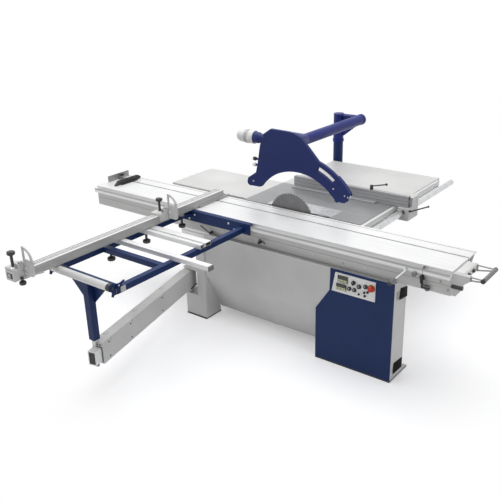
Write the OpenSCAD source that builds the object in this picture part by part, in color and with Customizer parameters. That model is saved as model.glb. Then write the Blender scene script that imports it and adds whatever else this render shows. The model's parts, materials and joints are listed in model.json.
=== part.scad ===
// Sliding table saw. X runs along the sliding table, Y away from the operator's side, Z up from the floor.
// The origin is on the floor under the centre of the saw blade.

/* [Machine body] */
// Height of the table top above the floor
table_h = 900; // [880:1:930]
// Outer face of the front panel, measured from the blade plane towards the operator
front_y = 445; // [440:1:470]
// Length of the machine body along the sliding table
body_l = 1017; // [960:1:1060]
// Distance from the blade centre to the left end of the body
body_left = 506; // [490:1:530]
// Rear wall of the body, measured from the blade plane
body_rear = 480; // [450:1:520]
// Sheet thickness of the body and the cabinet
sheet = 4; // [3:0.5:6]
// Height of the body's underside above the floor
body_bottom = 46; // [40:1:80]
// Height of the crease in the front panel
crease_z = 385; // [360:1:420]
// How far the front panel leans in below its crease
lean_in = 170; // [120:1:190]
// Bore of the rear extraction port
port_d = 120; // [80:1:150]

/* [Legs and cabinet] */
// Width of the left leg
leg_w = 210; // [190:1:260]
// Depth of the left leg
leg_d = 173; // [160:1:200]
// Height of the leg's lower box, below the swing arm
leg_box_h = 190; // [150:1:200]
// Width of the leg's upright beside the swing arm
leg_post_w = 84; // [70:1:90]
// Width of the control cabinet
cab_w = 590; // [560:1:640]
// Depth of the control cabinet
cab_d = 177; // [160:1:190]
// Depth of the cabinet's base plate
cab_base_d = 255; // [220:1:280]
// Height of the cabinet's chamfer start
cab_notch_z = 400; // [360:1:430]
// Width of the corner left off the cabinet's front
cab_notch_w = 104; // [80:1:120]
// Width of the control plate
plate_w = 330; // [300:1:350]
// Height of the control plate
plate_h = 152; // [140:1:170]

/* [Sliding table] */
// Length of the sliding table
carriage_l = 3200; // [2900:10:3400]
// Distance from the blade centre to the right end of the sliding table
carriage_right = 1456; // [1420:1:1480]
// Width of the sliding table
carriage_w = 388; // [380:1:400]
// Depth of the sliding table's profile
carriage_h = 165; // [160:1:175]
// Gap between the blade plane and the sliding table
blade_gap = 22; // [18:0.5:30]
// Length of the guide beam under the sliding table
guide_l = 1870; // [1800:1:1880]
// Distance from the blade centre to the left end of the guide beam
guide_left = 775; // [740:1:800]
// Width of the clamping slot in the sliding table
slot_w = 12; // [8:0.5:16]
// Radius of the push handle's grip
grip_r = 14; // [10:0.5:18]

/* [Fixed tables] */
// Length of the cast main table
main_l = 1048; // [1020:1:1080]
// Distance from the blade centre to the right edge of the main table
main_right = 604; // [590:1:620]
// Depth of the cast main table
main_d = 540; // [520:1:570]
// Length of the outfeed extension
outfeed_l = 810; // [700:1:900]
// Depth of the rip extension
rip_ext_d = 825; // [760:1:860]
// Thickness of the extension tables' edges
ext_h = 38; // [30:1:45]
// Sheet of the extension tables
ext_sheet = 3; // [2:0.5:4]

/* [Rip fence] */
// Length of the rip fence
rip_fence_l = 1032; // [900:1:1060]
// Height of the rip fence
rip_fence_h = 90; // [70:1:100]
// Thickness of the rip fence
rip_fence_t = 38; // [32:1:44]
// Distance of the rip fence's face from the blade plane
rip_face_y = 490; // [450:1:520]
// Radius of the round guide bar
bar_r = 22.5; // [18:0.5:25]
// Length of the round guide bar
bar_l = 1427; // [1400:1:1460]

/* [Saw unit] */
// Diameter of the saw blade
blade_d = 400; // [350:1:400]
// Distance from the table top down to the blade's centre
arbor_drop = 73; // [73:1:95]
// Thickness of the saw blade's body
blade_t = 3.2; // [2.8:0.1:3.6]
// Diameter of the arbor
arbor_d = 30; // [25:1:34]
// Number of teeth on the saw blade
teeth = 48; // [36:1:60]
// Diameter of the scoring blade
scoring_d = 120; // [100:1:120]
// Clearance between the saw blade and the scoring blade
scoring_gap = 2; // [2:1:10]
// Outer radius of the motor
motor_r = 90; // [80:1:92]
// Running clearance between a shaft and its bore
running = 0.05; // [0.02:0.01:0.09]

/* [Outrigger] */
// Width of the outrigger frame, over its side tubes
out_w = 618; // [600:1:660]
// Distance from the blade centre to the right side of the outrigger frame
out_right = 107; // [90:1:120]
// Reach of the outrigger frame from the sliding table
out_reach = 1234; // [1200:1:1260]
// Side of the outrigger's square tubes
tube = 40; // [38:1:46]
// Radius of the support roller
roller_r = 25; // [20:0.5:28]
// Side of the support post's tube
post_s = 50; // [44:1:56]
// Height of the swing arm's top above the floor
arm_top = 392; // [380:1:396]
// Depth of the swing arm
arm_h = 155; // [140:1:170]
// Width of the swing arm
arm_w = 80; // [76:1:86]
// Radius of the swing arm's pivot pin
pivot_r = 15; // [12:0.5:18]

/* [Crosscut fence] */
// Length of the crosscut fence
fence_l = 1900; // [1800:10:2000]
// Width of the crosscut fence
fence_w = 70; // [56:1:76]
// Height of the crosscut fence
fence_h = 58; // [50:1:64]
// Distance from the blade centre to the crosscut fence's working face
fence_x = 612; // [600:1:640]

/* [Guard] */
// Radius of the guard post
post_r = 45; // [43:0.5:50]
// Height of the guard post's top above the floor
guard_h = 1331; // [1320:1:1360]
// Thickness of the guard hood
hood_t = 24; // [20:1:36]
// Radius of the hood's arch
arch_r = 416; // [410:1:420]
// Radius of the boom tube
boom_r = 46; // [40:0.5:48]

/* [Hidden] */
$fn = 48;

draw_l = 1280;
flag_w = 92;
flag_round = 24;
flag_h = 186;
// Gap kept between flat faces of pieces that slide on each other
slide_gap = 0.5;
// Gap kept between curved faces of pieces that move apart
curve_gap = 0.4;

body_x0 = -body_left;
body_x1 = body_x0 + body_l;
rail_h = 85;
beam_z0 = table_h - 250;
beam_y0 = -408;
beam_y1 = -282;
car_x0 = carriage_right - carriage_l;
car_y1 = -blade_gap;
car_y0 = car_y1 - carriage_w;
car_z0 = table_h - carriage_h;
channel_y0 = beam_y0 + 8;
channel_y1 = beam_y1 - 8;
channel_h = 60;
rail_w = 70;
rail_y = (channel_y0 + channel_y1) / 2;
lip_t = 10;
relief = 42;
ledge_out = 30;
ledge_z0 = table_h - 50;
ledge_z1 = table_h - 28;
slot_y = car_y1 - 132;
guide_x1 = -guide_left + guide_l;
cab_x0 = body_x1 + 3;
cab_x1 = cab_x0 + cab_w;
cab_top = car_z0 - 2;
leg_x0 = body_x0 - leg_w;
leg_y0 = -front_y - 15;
leg_y1 = leg_y0 + leg_d;
main_x0 = main_right - main_l;
main_y0 = -10;
main_y1 = main_y0 + main_d;
main_z0 = table_h - 62;
scoring_x = (blade_d + scoring_d) / 2 + scoring_gap;
throat_x0 = -blade_d / 2 - 18;
throat_x1 = scoring_x + scoring_d / 2 + 12;
throat_y1 = 60;
seat_w = 16;
insert_t = 8;
insert_y1 = 176;
rip_y1 = main_y1 + rip_ext_d;
ext_z0 = table_h - ext_h;
rail_x1 = main_right + 24;
bar_x = rail_x1 + 62;
bar_z = table_h - 38;
bar_y0 = main_y0 - 5;
blade_z = table_h - arbor_drop;
sector_x = 360;
sector_t = 12;
rib_x = sector_x + sector_t + 2;
sector_r0 = 240;
sector_r1 = 330;
rib_r0 = 262;
rib_r1 = 308;
tilt_max = 45;
carrier_y = 160;
tie_y = carrier_y + 38;
tie_w = 36;
rod_y = tie_y + tie_w / 2;
rod_x = 180;
rod_r = 15;
motor_z = blade_z - 307;
pulley_y = 172;
pulley_w = 20;
arbor_pulley_r = 50;
motor_pulley_r = 60;
belt_t = 4;
out_x1 = -out_right;
out_x0 = out_x1 - out_w;
out_y1 = car_y0 - ledge_out - 1;
mount_x1 = out_x1 + 53;
mount_t = 8;
out_y0 = out_y1 - out_reach;
tube_z1 = table_h - 32;
tube_z0 = tube_z1 - tube;
fence_z0 = table_h + 4;
fence_x1 = -fence_x;
fence_x0 = fence_x1 - fence_w;
fence_y1 = car_y1 - 44;
fence_y0 = fence_y1 - fence_l;
fence_pivot_y = out_y1 - 90;
fence_mid = (fence_x0 + fence_x1) / 2;
flag_x = fence_x1 + 6;
flag_z = fence_z0 + fence_h + 28;
stop_near_y = fence_y0 + 1254;
stop_far_y = fence_y0 + 8;
end_lift = 16;
switch_x = 72;
switch_y1 = car_y0 + 226;
button_y = car_y0 + 107;
button_z = table_h - 28;
button_gap = 37;
end_l = 72;
pin_r = 14;
post_x = -415;
post_y = out_y0 + tube / 2;
post_z0 = arm_top + 18;
pivot_x = leg_x0 + 16;
pivot_y = leg_y0 + 30;
head_off = 20;
arm_angle = atan((post_x + head_off - pivot_x) / (pivot_y - post_y));
arm_reach = norm([post_x + head_off - pivot_x, post_y - pivot_y]);
arm_end = arm_reach;
head_at = [-head_off * cos(arm_angle), -arm_reach + head_off * sin(arm_angle)];
head_w = 10;
beam_s = arm_w - 2 * (sheet + 6);
beam_h2 = 100;
rip_y0 = rip_face_y;
carrier_x0 = rail_x1 + 8;
mast_x = main_x0 - 5;
mast_y = rip_y1 + 85;
collar_z = guard_h - 261;
mast_neck_r = post_r - 7;
arch_x = 60;
arch_z = table_h - 115;
arm_r1 = arch_r + 70;
strap_r0 = arm_r1 + 38;
strap_r1 = strap_r0 + 32;
stub_r = 42;
stub_z = table_h + 515;
boom_bend = [-250, 560, table_h + 390];
boom_far = [-235, mast_y + 30, table_h + 390];
hood_joint = [-110, 58 + boom_r, table_h + 520];

blue = [0.09, 0.12, 0.34];
grey = [0.70, 0.70, 0.69];
pale = [0.86, 0.86, 0.85];
alloy = [0.78, 0.79, 0.80];
steel = [0.60, 0.61, 0.63];
black = [0.08, 0.08, 0.09];

// A block between two opposite corners
module block(low, high) {
    translate(low) cube(high - low);
}

// A profile drawn in Y and Z, run along X
module along_x(x0, x1) {
    translate([x0, 0, 0]) rotate([90, 0, 90]) linear_extrude(x1 - x0) children();
}

// A profile drawn in X and Z, run along Y
module along_y(y0, y1) {
    translate([0, y1, 0]) rotate([90, 0, 0]) linear_extrude(y1 - y0) children();
}

// Round bars along each axis
module bar_along_x(x0, x1, y, z, r) {
    translate([x0, y, z]) rotate([0, 90, 0]) cylinder(r = r, h = x1 - x0);
}

module bar_along_y(y0, y1, x, z, r) {
    translate([x, y0, z]) rotate([-90, 0, 0]) cylinder(r = r, h = y1 - y0);
}

module bar_along_z(z0, z1, x, y, r) {
    translate([x, y, z0]) cylinder(r = r, h = z1 - z0);
}

// A round bar between two points
module rod(a, b, r) {
    d = b - a;
    translate(a) rotate([0, acos(d[2] / norm(d)), atan2(d[1], d[0])]) cylinder(r = r, h = norm(d));
}

// A flat ring sector in X and Z, its angles measured from +X towards +Z
module sector(r0, r1, a0, a1) {
    far = r1 * 1.5;
    intersection() {
        difference() {
            circle(r = r1, $fn = 96);
            circle(r = r0, $fn = 96);
        }
        polygon([[0, 0], far * [cos(a0), sin(a0)], far * [cos((a0 + a1) / 2), sin((a0 + a1) / 2)],
            far * [cos(a1), sin(a1)]]);
    }
}

// Welded sheet body: floor, walls and the shelf under the guide beam, open above the saw unit
module machine_frame() {
    y0 = -front_y + sheet;
    low_y = y0 + lean_in;
    shelf_y1 = beam_y1 + 7;
    shelf_z = beam_z0;
    color(grey) {
        difference() {
            along_x(body_x0, body_x1) polygon([[y0, shelf_z], [y0, crease_z], [low_y, body_bottom],
                [body_rear, body_bottom], [body_rear, main_z0], [main_y0 + 2, main_z0], [main_y0 + 2, shelf_z]]);
            along_x(body_x0 + sheet, body_x1 - sheet) polygon([[y0 + sheet, shelf_z - sheet],
                [y0 + sheet, crease_z + 1], [low_y + 3, body_bottom + sheet],
                [body_rear - sheet, body_bottom + sheet], [body_rear - sheet, main_z0 + 1],
                [shelf_y1, main_z0 + 1], [shelf_y1, shelf_z - sheet]]);
            bar_along_y(body_rear - sheet - 1, body_rear + 1, 150, 300, port_d / 2);
        }
        difference() {
            bar_along_y(body_rear, body_rear + 60, 150, 300, port_d / 2 + 3);
            bar_along_y(body_rear - 1, body_rear + 61, 150, 300, port_d / 2);
        }
        for (x = [body_x0 + 26, body_x1 - 106])
            block([x, body_rear - 130, 0], [x + 80, body_rear - 10, body_bottom]);
        block([-45, low_y + 60, 0], [45, body_rear - 40, body_bottom + 1]);
    }
}

// Two bulkheads that carry the cast table and guide the tilting cradle
module trunnion_supports() {
    x_in = sector_x + sector_t + 4;
    color(grey) for (side = [-1, 1])
        mirror([side < 0 ? 1 : 0, 0, 0]) difference() {
            along_x(x_in, x_in + sector_t) polygon([[-262, body_bottom + sheet], [262, body_bottom + sheet],
                [262, main_z0], [main_y0 + 4, main_z0], [main_y0 + 4, car_z0 - 10], [-262, car_z0 - 10]]);
            translate([x_in - 1, 0, table_h]) rotate([90, 0, 90]) linear_extrude(8 + 1 + slide_gap)
                sector(rib_r0 - curve_gap, rib_r1 + curve_gap, -90 - tilt_max - 2, -90 + tilt_max);
            along_x(x_in - 1, x_in + sector_t + 1) polygon([[-160, 120], [160, 120], [160, 420], [-160, 420]]);
        }
}

// Folded front sheet, upright above the crease and leaning in below it
module front_panel() {
    low = [-front_y + lean_in, body_bottom];
    color(pale) along_x(body_x0, body_x1 + 3) polygon([[-front_y, cab_top], [-front_y, crease_z], low,
        low + [sheet, 0], [-front_y + sheet, crease_z], [-front_y + sheet, cab_top]]);
}

// Leg box with the notch for the swing arm, its pivot pin and the upper lug
module left_leg() {
    post_x0 = body_x0 - leg_post_w;
    lug_z = arm_top + 8;
    color(pale) {
        block([leg_x0 + 6, leg_y0 + 6, 0], [body_x0 - 6, leg_y1 - 6, 8]);
        difference() {
            union() {
                block([leg_x0, leg_y0, 8], [body_x0, leg_y1, leg_box_h]);
                block([post_x0, leg_y0, 8], [body_x0, leg_y1, beam_z0]);
                block([leg_x0, leg_y1 - sheet, 8], [body_x0, leg_y1, beam_z0]);
            }
            block([leg_x0 + sheet, leg_y0 + sheet, 8 + sheet], [body_x0 - sheet, leg_y1 - sheet, leg_box_h - sheet]);
            block([post_x0 + sheet, leg_y0 + sheet, 8 + sheet], [body_x0 - sheet, leg_y1 - sheet, beam_z0 - sheet]);
        }
        bar_along_z(leg_box_h, lug_z + 20, pivot_x, pivot_y, pivot_r);
        difference() {
            block([pivot_x - 32, pivot_y - 30, lug_z], [post_x0, pivot_y + 36, lug_z + 12]);
            bar_along_z(lug_z - 1, lug_z + 13, pivot_x, pivot_y, pivot_r);
        }
    }
}

// Grey cabinet box with its base plate and louvres; its top leaves room for the guide beam
module cabinet_shell() {
    y0 = -front_y;
    y1 = y0 + cab_d;
    floor_z = 12;
    color(pale) difference() {
        union() {
            block([cab_x0, y0 - 5, 0], [cab_x1, y0 + cab_base_d, floor_z]);
            block([cab_x0, y0, floor_z], [cab_x1, y1, cab_top]);
        }
        block([cab_x0 + sheet, y0 + sheet, floor_z + sheet], [cab_x1 - sheet, y1 - sheet, beam_z0 - sheet]);
        block([cab_x0 - 1, y0 + sheet, beam_z0], [cab_x1 - sheet, y1 + 1, cab_top + 1]);
        for (z = [68, beam_z0 - 44], i = [0:5])
            block([cab_x1 - sheet - 1, y0 + 26, z + i * 10], [cab_x1 + 1, y0 + 150, z + i * 10 + 5]);
    }
}

// Blue front of the cabinet with one corner left off
module cabinet_front() {
    color(blue) along_y(-front_y - 5, -front_y) polygon([[cab_x0, 12], [cab_x1, 12], [cab_x1, cab_top],
        [cab_x0 + cab_notch_w + 10, cab_top], [cab_x0 + cab_notch_w + 6, cab_notch_z + 167],
        [cab_x0, cab_notch_z]]);
}

plate_x0 = cab_x0 + cab_notch_w + 24;
plate_z0 = cab_top - 14 - plate_h;
plate_y = -front_y - 5;
estop = [plate_x0 + plate_w - 26, plate_z0 + plate_h - 52];
selector = [plate_x0 + 171, plate_z0 + plate_h - 46];

// Control plate with two displays and its fixed push buttons, bored for the selector and the stop button
module control_plate() {
    color(alloy) difference() {
        union() {
            along_y(plate_y - 6, plate_y) translate([plate_x0, plate_z0]) polygon([[3, 6], [plate_w, 6],
                [plate_w, plate_h - 6], [29, plate_h - 4]]);
            for (p = [[52, 86, 126, 134], [42, 31, 116, 72]])
                block([plate_x0 + p[0], plate_y - 10, plate_z0 + p[1]], [plate_x0 + p[2], plate_y - 6, plate_z0 + p[3]]);
            for (p = [[140, 55, 12], [178, 54, 12], [212, 88, 13], [260, 100, 13], [212, 33, 5], [252, 56, 6],
                    [276, 64, 6], [256, 32, 6]])
                bar_along_y(plate_y - 16, plate_y - 6, plate_x0 + p[0], plate_z0 + p[1], p[2]);
        }
        for (p = [estop, selector])
            bar_along_y(plate_y - 7, plate_y + 1, p[0], p[1], 8 + running);
    }
}

module emergency_stop() {
    color("red") {
        bar_along_y(plate_y - 36, plate_y - 20, estop[0], estop[1], 20);
        bar_along_y(plate_y - 20, plate_y - 5.2, estop[0], estop[1], 8);
    }
}

module power_selector() {
    color(black) {
        bar_along_y(plate_y - 18, plate_y - 8, selector[0], selector[1], 15);
        bar_along_y(plate_y - 8, plate_y, selector[0], selector[1], 8);
        block([selector[0] - 4, plate_y - 27, selector[1] - 14], [selector[0] + 4, plate_y - 18, selector[1] + 14]);
    }
}

// Fixed beam with the running rail on top
module guide_beam() {
    top = car_z0 - 4;
    color(alloy) along_x(-guide_left, guide_x1) difference() {
        union() {
            translate([beam_y0, beam_z0]) square([beam_y1 - beam_y0, 52]);
            translate([beam_y0 + 10, beam_z0 + 50]) square([beam_y1 - beam_y0 - 20, 12]);
            translate([beam_y0, beam_z0 + 58]) square([beam_y1 - beam_y0, top - beam_z0 - 58]);
            translate([rail_y - rail_w / 2, top - 1]) square([rail_w, channel_h - 5]);
        }
        translate([beam_y0 + 8, beam_z0 + 8]) square([beam_y1 - beam_y0 - 16, 36]);
    }
}

// Cast table with a deep rim, ribs and the blade throat
module main_table() {
    rim = 22;
    color(steel) difference() {
        block([main_x0, main_y0, main_z0], [main_right, main_y1, table_h]);
        for (cell = [[main_x0 + rim, -rib_x - 26], [-rib_x, rib_x], [rib_x + 26, main_right - rim]])
            block([cell[0], main_y0 + rim, main_z0 - 1], [cell[1], main_y1 - rim, table_h - 16]);
        block([throat_x0, main_y0 - 1, main_z0 - 1], [throat_x1, throat_y1, table_h + 1]);
        block([throat_x0 - seat_w, main_y0 - 1, table_h - insert_t], [throat_x1 + seat_w, insert_y1, table_h + 1]);
    }
}

// Bright insert beside the blade
module table_insert() {
    lip = 0.5;
    color(alloy) difference() {
        block([throat_x0 - seat_w + lip, 6, table_h - insert_t], [throat_x1 + seat_w - lip, insert_y1 - lip, table_h]);
        for (x = [throat_x0 - seat_w + 12, throat_x1 + seat_w - 12], y = [24, insert_y1 - 18])
            bar_along_z(table_h - insert_t - 1, table_h + 1, x, y, 3.5);
        block([scoring_x - scoring_d / 2 - 2, 14, table_h - insert_t - 1], [throat_x1 - 8, 20, table_h + 1]);
    }
}

// Folded sheet table top with a struts pair below
module tray(low, high) {
    difference() {
        block(low, high);
        block(low + [ext_sheet, ext_sheet, -1], high - [ext_sheet, ext_sheet, ext_sheet]);
    }
}

module outfeed_extension() {
    y0 = main_y0 + 26;
    x0 = main_x0 - outfeed_l;
    color(pale) {
        tray([x0, y0, ext_z0], [main_x0, main_y1, table_h]);
        for (y = [y0 + 90, main_y1 - 90])
            along_y(y, y + 30) polygon([[body_x0, 500], [body_x0, 560], [x0 + 160, ext_z0 + 20],
                [x0 + 160, ext_z0 + 35 - ext_sheet], [x0 + 130, ext_z0 + 35 - ext_sheet], [x0 + 130, ext_z0 + 8]]);
    }
}

module rip_extension() {
    color(pale) {
        tray([main_x0, main_y1, ext_z0], [main_right, rip_y1, table_h]);
        for (x = [body_x0 + 130, body_x1 - 160])
            along_x(x, x + 30) polygon([[body_rear, 480], [body_rear, 540], [rip_y1 - 130, ext_z0 + 20],
                [rip_y1 - 130, ext_z0 + 35 - ext_sheet], [rip_y1 - 100, ext_z0 + 35 - ext_sheet],
                [rip_y1 - 100, ext_z0 + 8]]);
    }
}

// Flat rail along the right edge of the tables
module rip_rail() {
    color(alloy) difference() {
        block([main_right, main_y0, main_z0 + 6], [rail_x1, rip_y1 - 50, table_h - 6]);
        block([rail_x1 - 6, main_y0 - 1, bar_z - 17], [rail_x1 + 1, rip_y1 - 49, bar_z - 7]);
    }
}

// Round bar held off the rail by studs
module guide_bar() {
    color(steel) {
        bar_along_y(bar_y0, bar_y0 + bar_l, bar_x, bar_z, bar_r);
        for (y = [main_y0 + 30, main_y1 - 200, main_y1 + 150, rip_y1 - 90])
            bar_along_x(rail_x1 - 6, bar_x, y, bar_z - 12, 4.5);
    }
}

// Floor-standing post with a base plate and a turned neck for the boom's sleeve
module guard_post() {
    color(blue) {
        block([mast_x - 130, mast_y - 80, 0], [mast_x + 130, mast_y + 130, 14]);
        bar_along_z(14, collar_z, mast_x, mast_y, post_r);
        bar_along_z(collar_z, guard_h - 12, mast_x, mast_y, mast_neck_r);
    }
    color(blue) block([mast_x - 30, rip_y1, ext_z0 - 30], [mast_x + 30, mast_y - post_r + 6, ext_z0 + 20]);
}

// Hollow profile with the running channel, the clamping slot, the side ledge and the chamfer over the tilted blade
module sliding_table() {
    z1 = table_h;
    color(alloy) along_x(car_x0, carriage_right) difference() {
        polygon([[car_y0, car_z0], [car_y0, ledge_z0], [car_y0 - ledge_out, ledge_z0], [car_y0 - ledge_out, ledge_z1],
            [car_y0, ledge_z1], [car_y0, z1], [car_y1, z1], [car_y1, z1 - lip_t],
            [-relief - lip_t, z1 - lip_t], [-relief - carriage_h, car_z0]]);
        translate([channel_y0, car_z0 - 1]) square([channel_y1 - channel_y0, channel_h + 1]);
        translate([channel_y0, car_z0 + channel_h + 8]) square([channel_y1 - channel_y0, carriage_h - channel_h - 18]);
        polygon([[channel_y1 + 8, car_z0 + 8], [channel_y1 + 8, z1 - 10], [slot_y - 20, z1 - 10],
            [slot_y - 20, z1 - 36], [slot_y - 16, z1 - 36], [-relief - carriage_h - 4, car_z0 + 8]]);
        translate([slot_y - slot_w / 2, z1 - 14]) square([slot_w, 15]);
        translate([slot_y - slot_w, z1 - 28]) square([2 * slot_w, 18]);
        polygon([[slot_y + 20, z1 - 100], [slot_y + 20, z1 - 10], [-relief - 28, z1 - 10], [-relief - 28, z1 - 18]]);
        translate([car_y0 - 1, car_z0 + 62]) square([5, 5]);
    }
}

// Casting on the right end: a front horn, the switch box behind it and the black side grip
module end_casting() {
    x = carriage_right;
    top = table_h - 10;
    color(pale) difference() {
        union() {
            along_y(car_y0 + 1, car_y0 + 36) polygon([[x, car_z0 + 7], [x, top], [x + 106, top - 2],
                [x + 106, table_h - 42], [x + 64, table_h - 78], [x + 57, table_h - 117], [x + 29, car_z0 + 7]]);
            along_y(car_y0 + 35, switch_y1) polygon([[x, table_h - 100], [x, top], [x + switch_x, top],
                [x + switch_x, table_h - 50], [x + 44, table_h - 78], [x + 20, table_h - 100]]);
        }
        block([x - 1, channel_y0, car_z0 - 1], [x + 300, channel_y1, car_z0 + channel_h]);
        for (y = [button_y - button_gap, button_y + button_gap])
            bar_along_x(x + switch_x - 18, x + switch_x + 1, y, button_z, 7 + running);
    }
    color(black) bar_along_x(x, x + 72, car_y0 + 2, car_z0 + 69, grip_r - 1);
}

module remote_button(y) {
    x = carriage_right + switch_x;
    color(black) {
        bar_along_x(x - 10, x + 4, y, button_z, 7);
        bar_along_x(x + 4, x + 12, y, button_z, 11);
    }
}

module remote_start() {
    remote_button(button_y - button_gap);
}

module remote_stop() {
    remote_button(button_y + button_gap);
}

// U-shaped handle: two arms of paired rods from the switch box and the horn to one grip
module push_handle() {
    x1 = carriage_right + 182;
    z = table_h - 26;
    far = [carriage_right + switch_x, car_y0 + 214, table_h - 35];
    near = [carriage_right + 106, car_y0 + 18, table_h - 28];
    color(alloy) for (arm = [[far, 17], [near, 11]]) {
        at = arm[0];
        half = arm[1];
        block([at[0], at[1] - 9, at[2] - half - 4], [at[0] + 5, at[1] + 9, at[2] + half + 4]);
        for (side = [-1, 1])
            rod([at[0] + 3, at[1], at[2] + side * half], [x1, at[1] + 3, z + side * 6], 5);
    }
    color(grey) rod([x1, far[1] + 15, z], [x1, near[1] - 1, z], grip_r);
}

// Edging shoe and its end stop, clamped in the table's slot
module edging_shoe() {
    shoe_x = car_x0 + 150;
    wedge_y0 = slot_y - 190;
    wedge_y1 = slot_y + 110;
    color(black) {
        along_x(shoe_x - 14, shoe_x + 14) polygon([[wedge_y0, table_h], [wedge_y0 + 46, table_h + 34],
            [wedge_y1 - 24, table_h + 34], [wedge_y1, table_h + 14], [wedge_y1 - 30, table_h]]);
        block([shoe_x - 34, wedge_y0 + 60, table_h], [shoe_x + 34, wedge_y1 - 60, table_h + 6]);
    }
    color(alloy) {
        block([car_x0 + 8, slot_y - 136, table_h], [car_x0 + 14, slot_y + 104, table_h + 52]);
        block([car_x0 + 8, slot_y - 30, table_h], [car_x0 + 60, slot_y + 30, table_h + 6]);
        bar_along_z(table_h - 24, table_h + 34, car_x0 + 40, slot_y, slot_w / 2 - slide_gap);
        bar_along_z(table_h + 34, table_h + 48, car_x0 + 40, slot_y, 15);
    }
}

// Clamp lever: a bright rod with a grey grip, on a boss under the ledge
module lock_rod() {
    x = carriage_right - 284;
    y = car_y0 - ledge_out - 14;
    top = [x, y, ledge_z0 + 4];
    tip = [x - 82, y - 44, ledge_z0 - 92];
    grip = top + (tip - top) * 0.62;
    color(alloy) {
        bar_along_y(y - 10, car_y0 - ledge_out - slide_gap, x, ledge_z0 + 11, 9);
        rod(top, top + (tip - top) * 0.68, 5);
    }
    color(grey) {
        rod(grip, tip, 10);
        translate(tip) sphere(14);
    }
}

// L-shaped lever on the side of the sliding table
module lock_lever() {
    x = carriage_right - 180;
    y = car_y0 - 12;
    z = car_z0 + 74;
    color(black) {
        bar_along_y(y - 12, car_y0 - curve_gap, x, z, 8);
        block([x - 5, y - 14, z - 52], [x + 5, y - 4, z]);
        block([x - 5, y - 14, z - 56], [x + 52, y - 4, z - 46]);
    }
}

// Two rows of balls in flat cages, one on each side of the running rail
module ball_cage() {
    color(steel) for (side = [-1, 1]) {
        y = rail_y + side * (rail_w / 2 + 10);
        block([-700, y - 7, car_z0 + 14], [700, y + 7, car_z0 + 34]);
        for (x = [-650:130:650])
            bar_along_z(car_z0 + 8, car_z0 + 40, x, y, 10 - curve_gap);
    }
}

// Web plate hooked on the table's ledge, with the plate that carries the fence's pivot
module outrigger_mount() {
    y0 = out_y1 - mount_t;
    low = tube_z0 - 12;
    top = table_h - 1;
    color(blue) difference() {
        union() {
            block([out_x0, y0, low], [mount_x1, out_y1, top]);
            block([out_x0, y0, top - 6], [mount_x1, car_y0 - 3, top]);
            block([out_x0, fence_pivot_y - 34, tube_z1], [fence_x1 + 10, out_y1, tube_z1 + mount_t]);
            for (x = [out_x0 + 40, mount_x1 - 130]) {
                block([x, y0, low], [x + 90, car_y0 - slide_gap, ledge_z0 - slide_gap]);
                block([x, y0, ledge_z1 + slide_gap], [x + 90, car_y0 - 4, top]);
            }
        }
        for (p = [[87, 35], [529, 35], [143, 44 + 28], [476, 44 + 28]])
            bar_along_y(y0 - 1, out_y1 + 1, out_x0 + p[0], table_h - 100 + p[1], 5);
        bar_along_z(tube_z1 - 1, tube_z1 + mount_t + 1, fence_mid, fence_pivot_y, pin_r + running);
    }
}

module square_tube_y(x0, y0, y1, s, z0) {
    difference() {
        block([x0, y0, z0], [x0 + s, y1, z0 + s]);
        block([x0 + sheet, y0 - 1, z0 + sheet], [x0 + s - sheet, y1 + 1, z0 + s - sheet]);
    }
}

module square_tube_x(x0, x1, y0, s, z0) {
    difference() {
        block([x0, y0, z0], [x1, y0 + s, z0 + s]);
        block([x0 - 1, y0 + sheet, z0 + sheet], [x1 + 1, y0 + s - sheet, z0 + s - sheet]);
    }
}

roller_y = out_y0 - roller_r - 8;
roller_z = table_h - roller_r - 1;
bracket_t = 5;

// A side tube with its end plate and the bracket that holds one end of the roller
module side_tube(x0, inner) {
    plate_x = inner < 0 ? x0 + tube - 13 - bracket_t : x0 + 13;
    color(blue) {
        square_tube_y(x0, out_y0, out_y1 - mount_t, tube, tube_z0);
        block([x0, out_y0 - bracket_t, tube_z0], [x0 + tube, out_y0, tube_z1 + 22]);
        difference() {
            along_x(plate_x, plate_x + bracket_t) polygon([[out_y0 - 1, tube_z0 + 2], [out_y0 - 1, roller_z + 18],
                [roller_y - 16, roller_z + 18], [roller_y - 16, roller_z - 18], [out_y0 - 12, tube_z0 + 2]]);
            bar_along_x(plate_x - 1, plate_x + bracket_t + 1, roller_y, roller_z, 8 + running);
        }
    }
}

module side_tube_left() {
    side_tube(out_x0, 1);
}

module side_tube_right() {
    side_tube(out_x1 - tube, -1);
}

// The two tubes that tie the side tubes together
module cross_tubes() {
    color(blue) {
        square_tube_x(out_x0 + tube, out_x1 - tube, out_y0, tube, tube_z0);
        square_tube_x(out_x0 + tube, out_x1 - tube, out_y0 + 392, tube, tube_z0);
    }
    beam_knob(out_y0 + 392 + tube / 2, tube_z0 - 52, tube_z0);
}

// Wide profile with a clamping slot, open at its ends
module slot_beam() {
    y0 = out_y0 + 731;
    top = table_h - 1;
    slot = y0 + 40;
    color(alloy) along_x(out_x0 + 4, out_x1 + 20) difference() {
        translate([y0, tube_z1]) square([108, top - tube_z1]);
        translate([slot - slot_w / 2, top - 9]) square([slot_w, 10]);
        translate([slot - 13, top - 24]) square([26, 16]);
        translate([y0 + 4, tube_z1 + 4]) square([19, top - tube_z1 - 8]);
        translate([slot + 17, tube_z1 + 4]) square([47, top - tube_z1 - 8]);
    }
    beam_knob(y0 + 21, tube_z1 - 76, tube_z1);
}

// Clamp stud and knob under a beam or tube, beside the left side tube
module beam_knob(y, low, top) {
    x = out_x0 + 93;
    color(black) {
        bar_along_z(low + 22, top, x, y, 9);
        bar_along_z(low, low + 22, x, y, 25);
    }
}

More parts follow.
